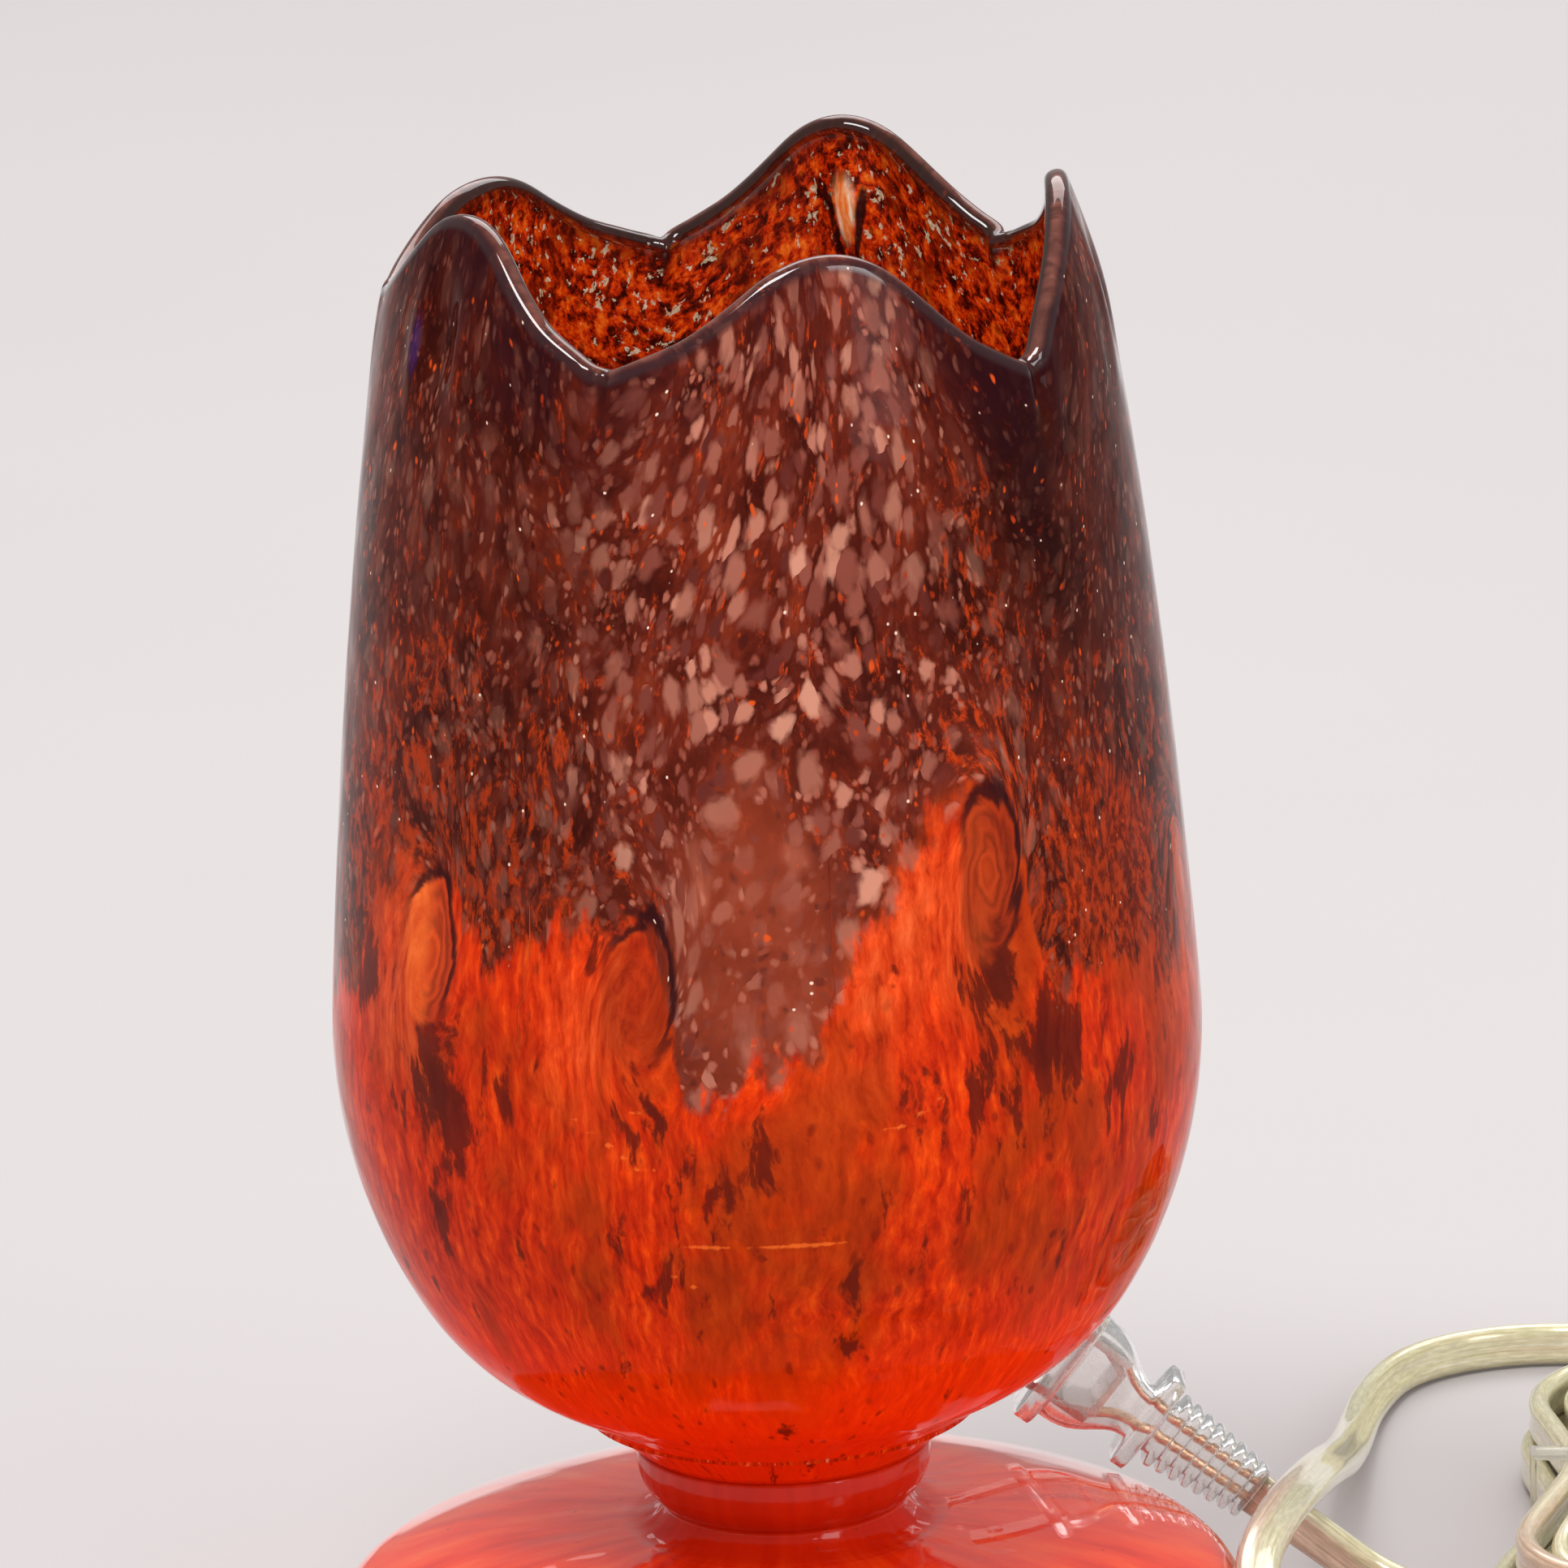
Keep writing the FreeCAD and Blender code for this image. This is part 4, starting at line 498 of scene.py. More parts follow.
def plug():
    """The clear body, and the milky frame that holds the blades inside it."""
    clear = Shader("clear_vinyl", (0.93, 0.93, 0.91), 0.1, Transmission_Weight=0.9, IOR=1.33)
    here = clear.coordinates()
    clear.give("Roughness", clear.step(clear.noise(here, 0.6, 3), 0.35, 0.75, 0.16, 0.34))
    clear.bump(clear.noise(here, 0.35, 2), 0.12, 0.0006)
    body = lofted("plug_clear_body", plug_stations())
    dress(body, clear)
    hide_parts("plug_body")
    corners = []
    for depth in (-3.4, 3.4):
        for inset in (0, 1.3):
            corners += [(3.4 + inset, -7.6 + inset, depth), (12.2 - inset, -4.6 + inset * 0.8, depth),
                        (12.2 - inset, 4.6 - inset * 0.8, depth), (3.4 + inset, 7.6 - inset, depth)]
    faces = []
    for j in range(4):
        k = (j + 1) % 4
        faces += [(j, k, 4 + k, 4 + j), (8 + j, 12 + j, 12 + k, 8 + k), (j, 8 + j, 8 + k, k),
                  (4 + j, 4 + k, 12 + k, 12 + j)]
    bridge = mesh_piece("plug_frame", on_plug(corners), faces, soft=False)
    edge = bridge.modifiers.new("edge", "BEVEL")
    edge.width, edge.segments, edge.limit_method = 0.0003, 2, "ANGLE"
    dress(bridge, clear_stuff("plug_insert", (0.8, 0.76, 0.72), 0.25, 0.5, 2, 0.15, 0.0005,
                              Transmission_Weight=0.55, IOR=1.5))
    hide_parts("plug_insert")
    return [body, bridge]


def wire_material():
    """Fine copper strands with a slow twist."""
    look = Shader("copper_wire", rough=0.3, Metallic=1.0)
    strands = look.noise(look.stretch(look.coordinates(), (0.3, 2.5, 0.9)), 1.6, 3)
    look.give("Base Color", look.ramp(
        strands, (0.3, (0.5, 0.26, 0.13)), (0.55, (0.88, 0.6, 0.4)), (0.8, (0.97, 0.82, 0.64))))
    look.bump(strands, 0.5, 0.0003)
    return look


plug_pieces = plug()
dress("plug_conductors", wire_material())


# Tulip shade. Heights below are over its crease

SHADE_BOTTOM, SHADE_INSIDE, WALL, CREASE = 58.2, 64.2, 4, 58
HOLE = 5.25
COLUMNS, SHADE_ROWS = 400, 112
# Above this height the rows follow the petals' edge; the inside starts this many rows up
LEVEL_TOP, LEVEL_SHARE, INNER_ROW = 186, 0.55, 8
LIP_GAP, LIP_RISE, LIP_FAT, LIP_STEPS, LIP_LENGTH = 1.5, 2.2, 0.22, 12, 6
PATTERN_RADIUS = 62
PETAL_TIPS = ((15.5, 209.4), (87.5, 210), (159.5, 209), (231.5, 204), (303.5, 212.5))
PETAL_NOTCHES = ((-22.7, 191.7), (52, 186), (130, 190.4), (193, 187), (268, 193.4))
# How deep the tool mark is under each tip
PINCHES = (0.12, 1, 1.3, 1.1, 1.5)
RIM_CURVE = ((0, 0), (0.15, 0.15), (0.36, 0.325), (0.56, 0.6), (0.74, 0.875), (0.9, 0.99), (1, 1))
STEEP_CURVE = ((0, 0), (0.12, 0.22), (0.28, 0.46), (0.45, 0.66), (0.65, 0.85), (0.85, 0.97), (1, 1))
# Eyes in the glass where the two colours meet: place round, height, half width, half height, lean, how bright
EYES = (
    (-50.5, 98, 5.6, 13, 0.1, 1), (-17, 96, 5.4, 12.5, 0.1, 0.2), (31.5, 111.5, 4.8, 14, 0.05, 0.45),
    (78, 97, 5.2, 12, -0.1, 0.5), (112, 108, 4.8, 13, 0.1, 0.3), (150, 96, 5.6, 14, -0.06, 0.6),
    (-166, 110, 4.8, 12, 0.06, 0.35), (-128, 98, 5.4, 13, -0.1, 0.55), (-94, 106, 4.8, 12, 0.1, 0.3))
# Where the dark glass ends: place round and height
MEETING = (
    (-180, 92), (-166, 118), (-150, 84), (-128, 108), (-110, 80), (-94, 112), (-83, 80), (-70, 88),
    (-63, 106), (-52, 112), (-45, 109), (-40, 100), (-34, 100), (-28, 105), (-22, 108), (-16, 108),
    (-13, 98), (-11, 79), (-5, 80), (2, 86), (7, 88), (10, 97), (15, 106), (21, 116), (28, 124), (32, 126),
    (36.5, 119), (38.5, 104), (40, 92), (46, 92), (55, 95), (63, 90), (71.6, 84), (80, 108), (94, 82),
    (112, 118), (130, 84), (150, 108), (166, 82), (180, 92))
# Dark trails in the lower glass: place round, height, half width, half height, how dark
TRAILS = (
    (31, 95, 6, 7, 1.15), (30, 79, 8, 8, 1), (40, 83, 11, 9, 1.05), (52, 76, 8, 7, 0.7),
    (-48, 76, 9, 9, 1.15), (-46, 62, 5, 6, 0.7), (-50.7, 55.4, 2.2, 4.5, 1), (-15, 77, 4, 7, 1),
    (-12, 69, 4, 7, 0.9), (0, 70, 11, 6, 0.5), (-36.5, 78, 5, 6, 0.6), (-65, 90, 3.5, 6, 1),
    (68, 87, 5, 5, 0.9), (6, 50, 16, 12, 0.3), (95, 76, 9, 9, 0.8), (128, 70, 7, 9, 0.8),
    (168, 74, 8, 9, 0.8), (-150, 72, 8, 10, 0.8), (-110, 72, 7, 9, 0.8))
# Where the lower glass shines through the dark one: place round, height, half width, half height, how much
WARMTH = (
    (54, 106, 15, 19, 1), (28, 131, 9, 8, 0.5), (-34, 110, 11, 9, 0.45), (-64, 118, 10, 22, 0.4),
    (100, 108, 16, 16, 0.8), (140, 110, 14, 18, 0.6), (-145, 110, 16, 18, 0.8), (-108, 114, 14, 16, 0.5))
# Painted caustics: thin bright lines of refracted light in the lower glass, each a chain of places round and
# heights
PAINTED_CAUSTICS = (
    ((-27.5, 77), (-21, 72), (-17.5, 68.6), (-15, 69)), ((13, 73), (17, 74), (22.4, 77.5)),
    ((-12, 56), (-5, 55), (9, 55.8)), ((-14, 50), (-11, 48.4)), ((-20, 78.5), (-17, 77.6)),
    ((-7, 88), (4, 89)), ((100, 66), (110, 63), (118, 64)), ((-120, 60), (-108, 62)), ((160, 58), (172, 56)))


def shade_outside():
    """The outside from the crease up to above the highest tip."""
    return profile(
        (24, SHADE_BOTTOM), (-0.7, (41.1, 70.3)), (1.55, (57.9, 86)), (3.9, (70.1, 135.2)),
        (1, (59.4, 238.4)), (1.2, (49.2, 275.2)), step=0.7)


def rim_heights(azimuth):
    """The petals' edge, its height over the table at each place round."""
    heights = np.zeros_like(azimuth)
    for index, (notch, low) in enumerate(PETAL_NOTCHES):
        for sign, (tip, high) in ((-1, PETAL_TIPS[index - 1]), (1, PETAL_TIPS[index])):
            span = abs(angle_off(tip, notch))
            off = angle_off(azimuth, notch) * sign
            here = (off >= 0) & (off <= span)
            curve = np.array(STEEP_CURVE if (index, sign) == (1, 1) else RIM_CURVE)
            heights[here] = SHADE_BOTTOM + low + (high - low) * np.interp(off[here] / span, *curve.T)
    reach = 9
    kernel = np.exp(-0.5 * (np.arange(-reach, reach + 1) / 2.6) ** 2)
    wrapped = np.concatenate([heights[-reach:], heights, heights[:reach]])
    return np.convolve(wrapped, kernel / kernel.sum(), "valid")


def waviness(azimuth, along, seed, amount):
    """Slow hand-blown swells over the glass."""
    random = np.random.default_rng(seed)
    total = np.zeros(np.broadcast(azimuth, along).shape)
    for _ in range(9):
        lobes, climb = random.integers(1, 7), random.uniform(0.008, 0.05)
        total += random.uniform(0.3, 1) * np.sin(
            np.radians(azimuth) * lobes + along * climb + random.uniform(0, 6.28))
    return total / 3 * amount


def tool_marks(azimuth, height):
    """How far the tool marks in the tips and the creases under the notches push the skin out."""
    push = np.zeros_like(height)
    for (tip, high), depth in zip(PETAL_TIPS, PINCHES):
        off = angle_off(azimuth, tip) * 0.95
        above = height - (SHADE_BOTTOM + high - 19)
        push -= depth * 1.3 * bell(off / 3.4, above / 8.5)
        push += depth * 0.5 * bell((np.abs(off) - 6.2) / 2.4, above / 10)
    for notch, low in PETAL_NOTCHES:
        off = angle_off(azimuth, notch)
        below = np.clip(SHADE_BOTTOM + low - height, 0, None)
        push -= 1.1 * bell(off / 1.3, below / 6)
        push += 0.35 * bell((np.abs(off) - 3.2) / 1.8, below / 9)
    return push


def shade_mesh():
    """Closed glass: the foot, the outside, the lip, the inside and its floor."""
    outside = shade_outside()
    azimuth = azimuths(COLUMNS)
    turn = np.radians(azimuth)
    along = distances(outside)
    rim_along = np.interp(rim_heights(azimuth), outside[:, 1], along)
    level_top = np.interp(SHADE_BOTTOM + LEVEL_TOP, outside[:, 1], along)
    level_at = np.linspace(0, level_top, SHADE_ROWS)[:, None]
    pull = smooth(level_at, level_top * LEVEL_SHARE, level_top)
    outer_at = level_at + pull * (rim_along - LIP_GAP - level_top)
    inner_at = outer_at[INNER_ROW:][::-1]

    def skin(at, offset):
        """Radii and heights at distances along the outside, pushed out by offset."""
        place, normal = resampled(outside, at)
        push = tool_marks(azimuth, np.interp(at, along, outside[:, 1])) + offset
        push += waviness(azimuth, at, 4, 0.22) * smooth(at, 12, 40)
        return place[..., 0] + normal[..., 0] * push, place[..., 1] + normal[..., 1] * push

    radius_out, height_out = skin(outer_at, 0)
    radius_in, height_in = skin(inner_at, -WALL)
    height_in = np.maximum(height_in, SHADE_INSIDE)
    # The fire-polished lip is a bead across the wall, square to the petal's edge
    last_out = ring(radius_out[-1], turn, height_out[-1])
    first_in = ring(radius_in[0], turn, height_in[0])
    middle, across = (last_out + first_in) / 2, (last_out - first_in) / 2
    edge_way = np.roll(middle, -1, 0) - np.roll(middle, 1, 0)
    rise_way = unit(np.cross(unit(edge_way), across))
    rise_way *= np.sign(rise_way[:, 2:])
    rise_way = unit(sum(np.roll(rise_way, by, 0) for by in range(-3, 4)))
    # Rows of points, each with its side, 0 outside to 1 inside, and its distance along the outside
    rows = [(ring(radius, turn, SHADE_BOTTOM), 0, 0) for radius in (HOLE, 9, 14, 19, 22.5)]
    rows += [(ring(r, turn, z), 0, at) for r, z, at in zip(radius_out, height_out, outer_at)]
    for step in range(1, LIP_STEPS):
        swing = math.pi * step / LIP_STEPS
        fat = 1 + LIP_FAT * math.sin(swing) ** 2
        points = middle + across * math.cos(swing) * fat + rise_way * LIP_RISE * math.sin(swing)
        rows.append((points, step / LIP_STEPS, rim_along))
    rows += [(ring(r, turn, z), 1, at) for r, z, at in zip(radius_in, height_in, inner_at)]
    inward = np.linspace(radius_in[-1].mean() - 1.5, 17, 6)
    rows += [(ring(radius, turn, SHADE_INSIDE), 1, 12) for radius in inward]
    rows += [(ring(radius, turn, SHADE_INSIDE), 1, 0) for radius in (12, HOLE)]
    count = len(rows)
    points = np.concatenate([row[0] for row in rows])
    side, at = (np.concatenate([np.broadcast_to(row[k], COLUMNS) for row in rows]) for k in (1, 2))
    azimuth, rim_along = np.tile(azimuth, count), np.tile(rim_along, count)
    piece = mesh_piece("tulip_shade_glass", points, grid_faces(count, COLUMNS, wrap=True))
    shade_attributes(piece.data, azimuth, side, at, points[:, 2] - CREASE, rim_along)
    return piece


def shade_attributes(mesh, azimuth, side, at, height, rim_along):
    """What the glass shader reads: flowing pattern coordinates, where each colour lies and where light and
    shade are painted.
    """
    count, inside, rim_gap = len(azimuth), side >= 1, rim_along - at

    def off(place):
        return angle_off(azimuth, place)

    def across(place):
        return np.radians(off(place)) * PATTERN_RADIUS

    def spots(table, measure, power=1):
        """The strongest of the table's soft spots."""
        total = np.zeros(count)
        for place, level, half_width, half_height, much in table:
            spot = bell(measure(place) / half_width, (height - level) / half_height)
            total = np.maximum(total, much * spot ** power)
        return total

    x = np.radians(azimuth) * PATTERN_RADIUS
    y = np.where(side > 0, rim_along + side * LIP_LENGTH, at)
    y = np.where(inside, 2 * rim_along.mean() + LIP_LENGTH - at, y)
    nearest, lit = np.full(count, 9.0), np.zeros(count)
    eyes = np.tile((0.0, 9, 0), (count, 1))
    for place, level, half_width, half_height, lean, bright in EYES:
        dy = height - level
        dx = across(place) - lean * dy
        local = np.stack([dx / half_width, dy / half_height, np.full(count, bright)], 1)
        far = np.hypot(local[:, 0], local[:, 1])
        close = far < nearest
        nearest = np.where(close, far, nearest)
        eyes = np.where(close[:, None], local, eyes)
        spin = 1.6 * bell(far / 1.1)
        c, s = np.cos(spin), np.sin(spin)
        x = x + dx * c - dy * s * 0.45 - dx
        y = y + dx * s * 1.6 + dy * c - dy
        flame = bell((dx + half_width * 1.1) / 7.5, (dy + half_height * 0.35) / 15)
        lit = np.maximum(lit, flame * (0.6 + 0.4 * bright))
    right_flame = bell((off(19) * 1.05 - (height - 104) * 0.35) / 6.5, (height - 103) / 17)
    lit = np.maximum(lit, right_flame * 1.1)
    border = np.interp(off(0), *np.array(MEETING).T)
    caustic_distance = np.full(count, 8.0)
    for chain in PAINTED_CAUSTICS:
        for (place, low), (other, high) in zip(chain, chain[1:]):
            dx, dy = across(place), height - low
            long_x, long_y = math.radians(other - place) * PATTERN_RADIUS, high - low
            share = np.clip((dx * long_x + dy * long_y) / (long_x ** 2 + long_y ** 2), 0, 1)
            caustic_distance = np.minimum(caustic_distance, np.hypot(dx - share * long_x, dy - share * long_y))
    climb = smooth(at, rim_along * 0.72, rim_along)
    y = y - climb * (rim_along - rim_along.mean()) * 0.8 * np.where(inside, -1, 1)
    pinch_backlight, painted_pinch_shade, painted_crease_shade = np.zeros(count), np.zeros(count), np.zeros(count)
    # Under each tip: where the painted backlight and the painted shade of the pinch mark lie, and how the
    # flecks lean
    for (tip, high), depth in zip(PETAL_TIPS, PINCHES):
        rise = (height - (SHADE_BOTTOM + high - 17 - CREASE)) / 8
        from_tip = off(tip + 1) * 0.95 / np.clip(2.7 + 1.5 * rise, 0.8, 6)
        mark = bell(from_tip, np.where(rise > 0, rise / 1.3, rise))
        pinch_shade_line = bell((np.abs(from_tip) - 1) / 0.32) * smooth(rise, 1, 0.3) * smooth(rise, -1.3, -0.7)
        pinch_backlight, painted_pinch_shade = np.maximum(pinch_backlight, min(depth, 1) * mark), np.maximum(painted_pinch_shade, min(depth, 1) * pinch_shade_line)
        lean = bell(off(tip - 23) / 17) * np.where(inside, 0.4, 1)
        x = x - 12 * lean * (smooth(rim_gap, 66, 0) - 0.4)
    # Painted shade: a dark line down the crease under each notch
    for notch, low in PETAL_NOTCHES:
        below = np.clip(SHADE_BOTTOM + low - CREASE - height, 0, None)
        painted_crease_shade = np.maximum(painted_crease_shade, bell(off(notch) / 1.3, below / 6.5))
    # Painted shade: darker towards the rim, more so round the sides
    side_shade = np.maximum(bell(off(-40) / 17), bell(off(44) / 15))
    values = {
        "flow": ring(PATTERN_RADIUS, x / PATTERN_RADIUS, y), "high": height, "inner": side,
        "edge": np.where((side > 0) & (side < 1), 1, np.exp(-np.clip(rim_gap - 1.2, 0, None) / 1.6)),
        "zone": (height - border) / 20, "eyes": eyes, "lit": lit, "caustic_distance": caustic_distance,
        "trail": spots(TRAILS, across, 0.8), "warmth": spots(WARMTH, off),
        "pinch_backlight": pinch_backlight, "painted_pinch_shade": painted_pinch_shade, "painted_crease_shade": painted_crease_shade,
        "cobalt": bell(off(-62.5) / 1.5, (height - 192) / 6),
        # A painted reflection: a soft milky veil over the front middle of the glass
        "painted_veil": bell(off(-1) / 12, (height - 103) / 27),
        # pale is painted light: lighter towards the front, where the painted reflection falls, and darker
        # high up near the right notch
        "pale": bell(off(2) / 30) - 0.9 * bell(off(46) / 11, (height - 172) / 20),
        "painted_rim_shade": np.exp(-rim_gap / 20) * (0.45 + 0.55 * side_shade)}
    for name, value in values.items():
        put(mesh, name, value)


def shade_material():
    """Flecked aubergine glass above, streaked orange red glass below, orange seen from the inside."""
    look = Shader("shade_glass", rough=0.05, IOR=1.25, Coat_Roughness=0.02, Coat_IOR=1.55)
    step, noise, cells, dots, attribute = look.step, look.noise, look.cells, look.dots, look.attribute
    stretch, moved, warped, ramp, mix, lay = (
        look.stretch, look.moved, look.warped, look.ramp, look.mix, look.lay)
    total, product, scaled, swing = look.total, look.product, look.scaled, look.swing
    flow = attribute("flow", "Vector")
    zone, inner, edge, high, lit, trail, front, painted_veil, warmth = (attribute(name) for name in (
        "zone", "inner", "edge", "high", "lit", "trail", "pale", "painted_veil", "warmth"))
    on_outside, on_inside = step(inner, 0.6, 0.4), step(inner, 0.6, 1)
    tall = warped(warped(stretch(flow, (1, 1, 0.55)), 0.1, 5), 0.5, 1.2)
    streak = stretch(warped(warped(flow, 0.05, 7), 0.25, 1.5), (1, 1, 0.2))

    # Upper glass
    ground = noise(tall, 0.14, 6, 0.65)
    upper = ramp(ground, (0.3, (0.024, 0.003, 0.002)), (0.44, (0.05, 0.006, 0.003)),
                 (0.56, (0.092, 0.011, 0.005)), (0.72, (0.16, 0.022, 0.007)))
    glow = noise(stretch(tall, (1, 1, 0.7)), 0.5, 5, 0.7)
    glow = total(glow, product(step(zone, 3.8, 0.3), step(front, 0.7, 0.1, 0.03, 0.13)))
    upper = mix(step(glow, 0.57, 0.72, 0, 0.85), upper, (0.42, 0.04, 0.006))
    # Painted reflection: the veil lightens the front middle of the upper glass
    upper = mix(step(painted_veil, 0.1, 0.7, 0, 0.85), upper, (0.15, 0.022, 0.009))
    # Painted light: the middle flecks show mostly at the front, where the painted front light and veil fall
    painted_front_light_share = product(scaled(step(front, 0, 0.8), 0.75, 0.25), step(painted_veil, 0.25, 0.9, 1, 0.5))
    # Soft oval flecks, small to large: scale, move, where they fade, share left out, tints, where they lie
    layers = (
        (0.8, (9, 4, 2), (0.7, 0.36), 0.12, (
            (0, (0.045, 0.006, 0.004)), (0.45, (0.12, 0.022, 0.013)), (0.8, (0.22, 0.056, 0.034)),
            (1, (0.34, 0.12, 0.08))), 1),
        (0.38, (2, 6, 5), (0.72, 0.44), 0.2, (
            (0, (0.07, 0.012, 0.009)), (0.35, (0.14, 0.032, 0.022)), (0.75, (0.23, 0.072, 0.048)),
            (1, (0.38, 0.15, 0.1))), painted_front_light_share),
        (0.25, (0, 0, 0), (0.68, 0.42), 0.42, (
            (0, (0.12, 0.026, 0.018)), (0.45, (0.2, 0.058, 0.038)), (0.8, (0.27, 0.1, 0.066)),
            (1, (0.41, 0.185, 0.125))), painted_front_light_share),
        (0.19, (7, 2, 9), (0.74, 0.26), 0.3, (
            (0, (0.15, 0.028, 0.016)), (0.5, (0.24, 0.058, 0.035)), (1, (0.4, 0.13, 0.08))),
            step(painted_veil, 0.15, 0.8, 0, 0.75)))
    covers = []
    for scale, move, fade, without, tints, where in layers:
        far, chance, tint = cells(moved(tall, move), scale)
        shape = scaled(noise(tall, scale * 3, 2), 0.35, far)
        covers.append(product(step(shape, *fade), step(chance, without, without + 0.04), where))
        upper = lay(upper, ramp(tint, *tints), covers[-1])
    large_flecks = covers[2]
    # Painted reflection: the veil's milky tint clouds the front middle
    painted_veil_tint = mix(step(noise(tall, 0.22, 4, 0.6), 0.35, 0.65), (0.165, 0.024, 0.01), (0.28, 0.052, 0.023))
    upper = mix(step(painted_veil, 0.1, 0.9, 0, 0.28), upper, painted_veil_tint)
    ember = mix(step(noise(tall, 0.7, 5, 0.66), 0.4, 0.62), (0.15, 0.01, 0.002), (0.52, 0.046, 0.005))
    upper = lay(upper, ember, step(scaled(warmth, 0.16, glow), 0.6, 0.72), step(warmth, 0, 0.8, 0, 0.85))
    # Painted light and shade: the upper glass is lightened at the front and darkened round the sides and
    # back, over a slow random change in tone
    broad = step(noise(flow, 0.022, 2), 0.3, 0.7, 0.42, 0.72)
    bright = total(product(front, 0.55), broad)
    upper = mix(1, upper, mix(bright, (0.15, 0.11, 0.1), (1.25, 1.22, 1.22)), "MULTIPLY")
    # Painted shade: patchy darkening towards the rim, strongest round the sides
    painted_rim_shade = product(attribute("painted_rim_shade"), step(noise(tall, 0.12, 4, 0.6), 0.34, 0.56))
    upper = mix(step(painted_rim_shade, 0.02, 0.75, 0, 0.85), upper, (0.02, 0.003, 0.005))
    far, chance, tint = cells(moved(tall, (3, 7, 5)), 0.7)
    upper = lay(upper, ramp(tint, (0, (0.3, 0.025, 0.005)), (1, (0.7, 0.085, 0.01))),
                step(scaled(ground, 0.5, far), 0.55, 0.35), step(chance, 0.84, 0.88), 0.85)

    # Lower glass
    fine = noise(streak, 0.6, 6, 0.66)
    lower = ramp(fine, (0.32, (0.34, 0.01, 0.0008)), (0.46, (0.56, 0.022, 0.001)),
                 (0.56, (0.72, 0.038, 0.0015)), (0.7, (0.92, 0.09, 0.004)))
    slow = noise(stretch(flow, (1, 1, 0.6), (3, 3, 3)), 0.055, 4, 0.6)
    lower = mix(step(slow, 0.44, 0.62, 0, 0.72), lower, mix(fine, (0.2, 0.014, 0.001), (0.5, 0.052, 0.002)))
    lower = mix(step(high, 46, 14, 0, 0.75), lower, (0.84, 0.026, 0.001))
    smear = noise(stretch(tall, (1, 1, 0.5), (2, 2, 2)), 0.26, 5, 0.62)
    by_border = total(smear, step(zone, -2.2, -0.3, 0, 0.07))
    dark = look.math("MAXIMUM", step(scaled(trail, 0.22, smear), 0.6, 0.7), step(by_border, 0.66, 0.76))
    soot = mix(step(trail, 0.5, 1.1), (0.1, 0.007, 0.003), (0.05, 0.005, 0.003))
    lower = lay(lower, soot, dark, 0.85)
    # Painted light: bright orange caustic lines laid on the outside
    caustic_distance = total(swing(noise(tall, 0.9, 3), 1.1), attribute("caustic_distance"))
    lower = lay(lower, (1, 0.17, 0.02), step(caustic_distance, 0.55, 0.15), on_outside, 0.7)
    specks = dots(moved(tall, (5, 1, 8)), 0.5, (0.4, 0.15), (0.84, 0.9))
    lower = lay(lower, (0.16, 0.008, 0.002), specks, 0.6)

    # Where they meet
    ragged = noise(stretch(flow, (1, 1, 0.3)), 0.26, 5, 0.62)
    border = total(total(zone, swing(ragged, 1.6)), swing(glow, 0.5))
    share = step(border, -0.16, 0.16)
    outer = mix(share, lower, upper)
    fire = ramp(fine, (0.34, (0.44, 0.026, 0.003)), (0.48, (0.7, 0.07, 0.01)), (0.66, (0.88, 0.13, 0.03)))
    outer = lay(outer, fire, lit, step(border, 0.7, -0.25), on_outside,
                step(smear, 0.62, 0.44, 0.45, 0.95), step(dark, 0.2, 0.9, 1, 0.1))

    # The eyes: rings about each heart, brighter on its left, under a dark line on the right
    split = look.add("ShaderNodeSeparateXYZ", {"Vector": attribute("eyes", "Vector")})
    across, along, strong = split.outputs
    far = look.math("SQRT", total(product(across, across), product(along, along)))
    ripple = total(far, swing(noise(tall, 0.22, 4), 0.935))
    rings = ramp(product(ripple, 0.8), (0, (0.72, 0.075, 0.01)), (0.18, (0.5, 0.045, 0.006)),
                 (0.27, (0.76, 0.08, 0.012)), (0.36, (0.3, 0.03, 0.006)), (0.46, (0.62, 0.06, 0.01)),
                 (0.58, (0.24, 0.022, 0.006)), (0.68, (0.52, 0.045, 0.008)), (0.8, (0.13, 0.012, 0.006)))
    shaded = mix(1, rings, (0.42, 0.36, 0.5), "MULTIPLY")
    hot = ramp(fine, (0.3, (0.72, 0.07, 0.008)), (0.7, (0.98, 0.19, 0.03)))
    heart = lay(mix(step(strong, 0.2, 0.8), shaded, rings), hot,
                step(across, 0.35, -0.35), step(strong, 0.3, 1))
    outer = lay(outer, heart, step(ripple, 1.12, 0.8), step(strong, 0.1, 0.5, 0.35, 0.92))
    around = total(product(across, 0.5), product(along, 0.7))
    outer = lay(outer, (0.022, 0.003, 0.004), step(ripple, 0.86, 0.98),
                step(ripple, 1.22, 1.04), step(around, -0.6, 0.3), 0.9)
    outer = mix(step(attribute("cobalt"), 0.3, 0.9, 0, 0.55), outer, (0.02, 0.01, 0.1))

    # Inside
    grain = warped(warped(flow, 0.1, 3), 0.45, 1.3)
    mottle = noise(stretch(grain, (1, 1, 0.8)), 0.42, 5, 0.7)
    warm = ramp(mottle, (0.38, (0.03, 0.002, 0.001)), (0.45, (0.2, 0.01, 0.0015)),
                (0.51, (0.56, 0.026, 0.002)), (0.58, (0.8, 0.08, 0.004)), (0.7, (0.96, 0.24, 0.02)))
    blot = step(noise(flow, 0.07, 3, 0.6), 0.5, 0.66, 0, 0.75)
    warm = mix(blot, warm, (0.13, 0.008, 0.002))
    grit = dots(stretch(grain, (1, 1, 0.8), (6, 3, 1)), 0.7, (0.55, 0.3), (0.66, 0.72))
    warm = lay(warm, (0.04, 0.003, 0.001), grit, 0.6)
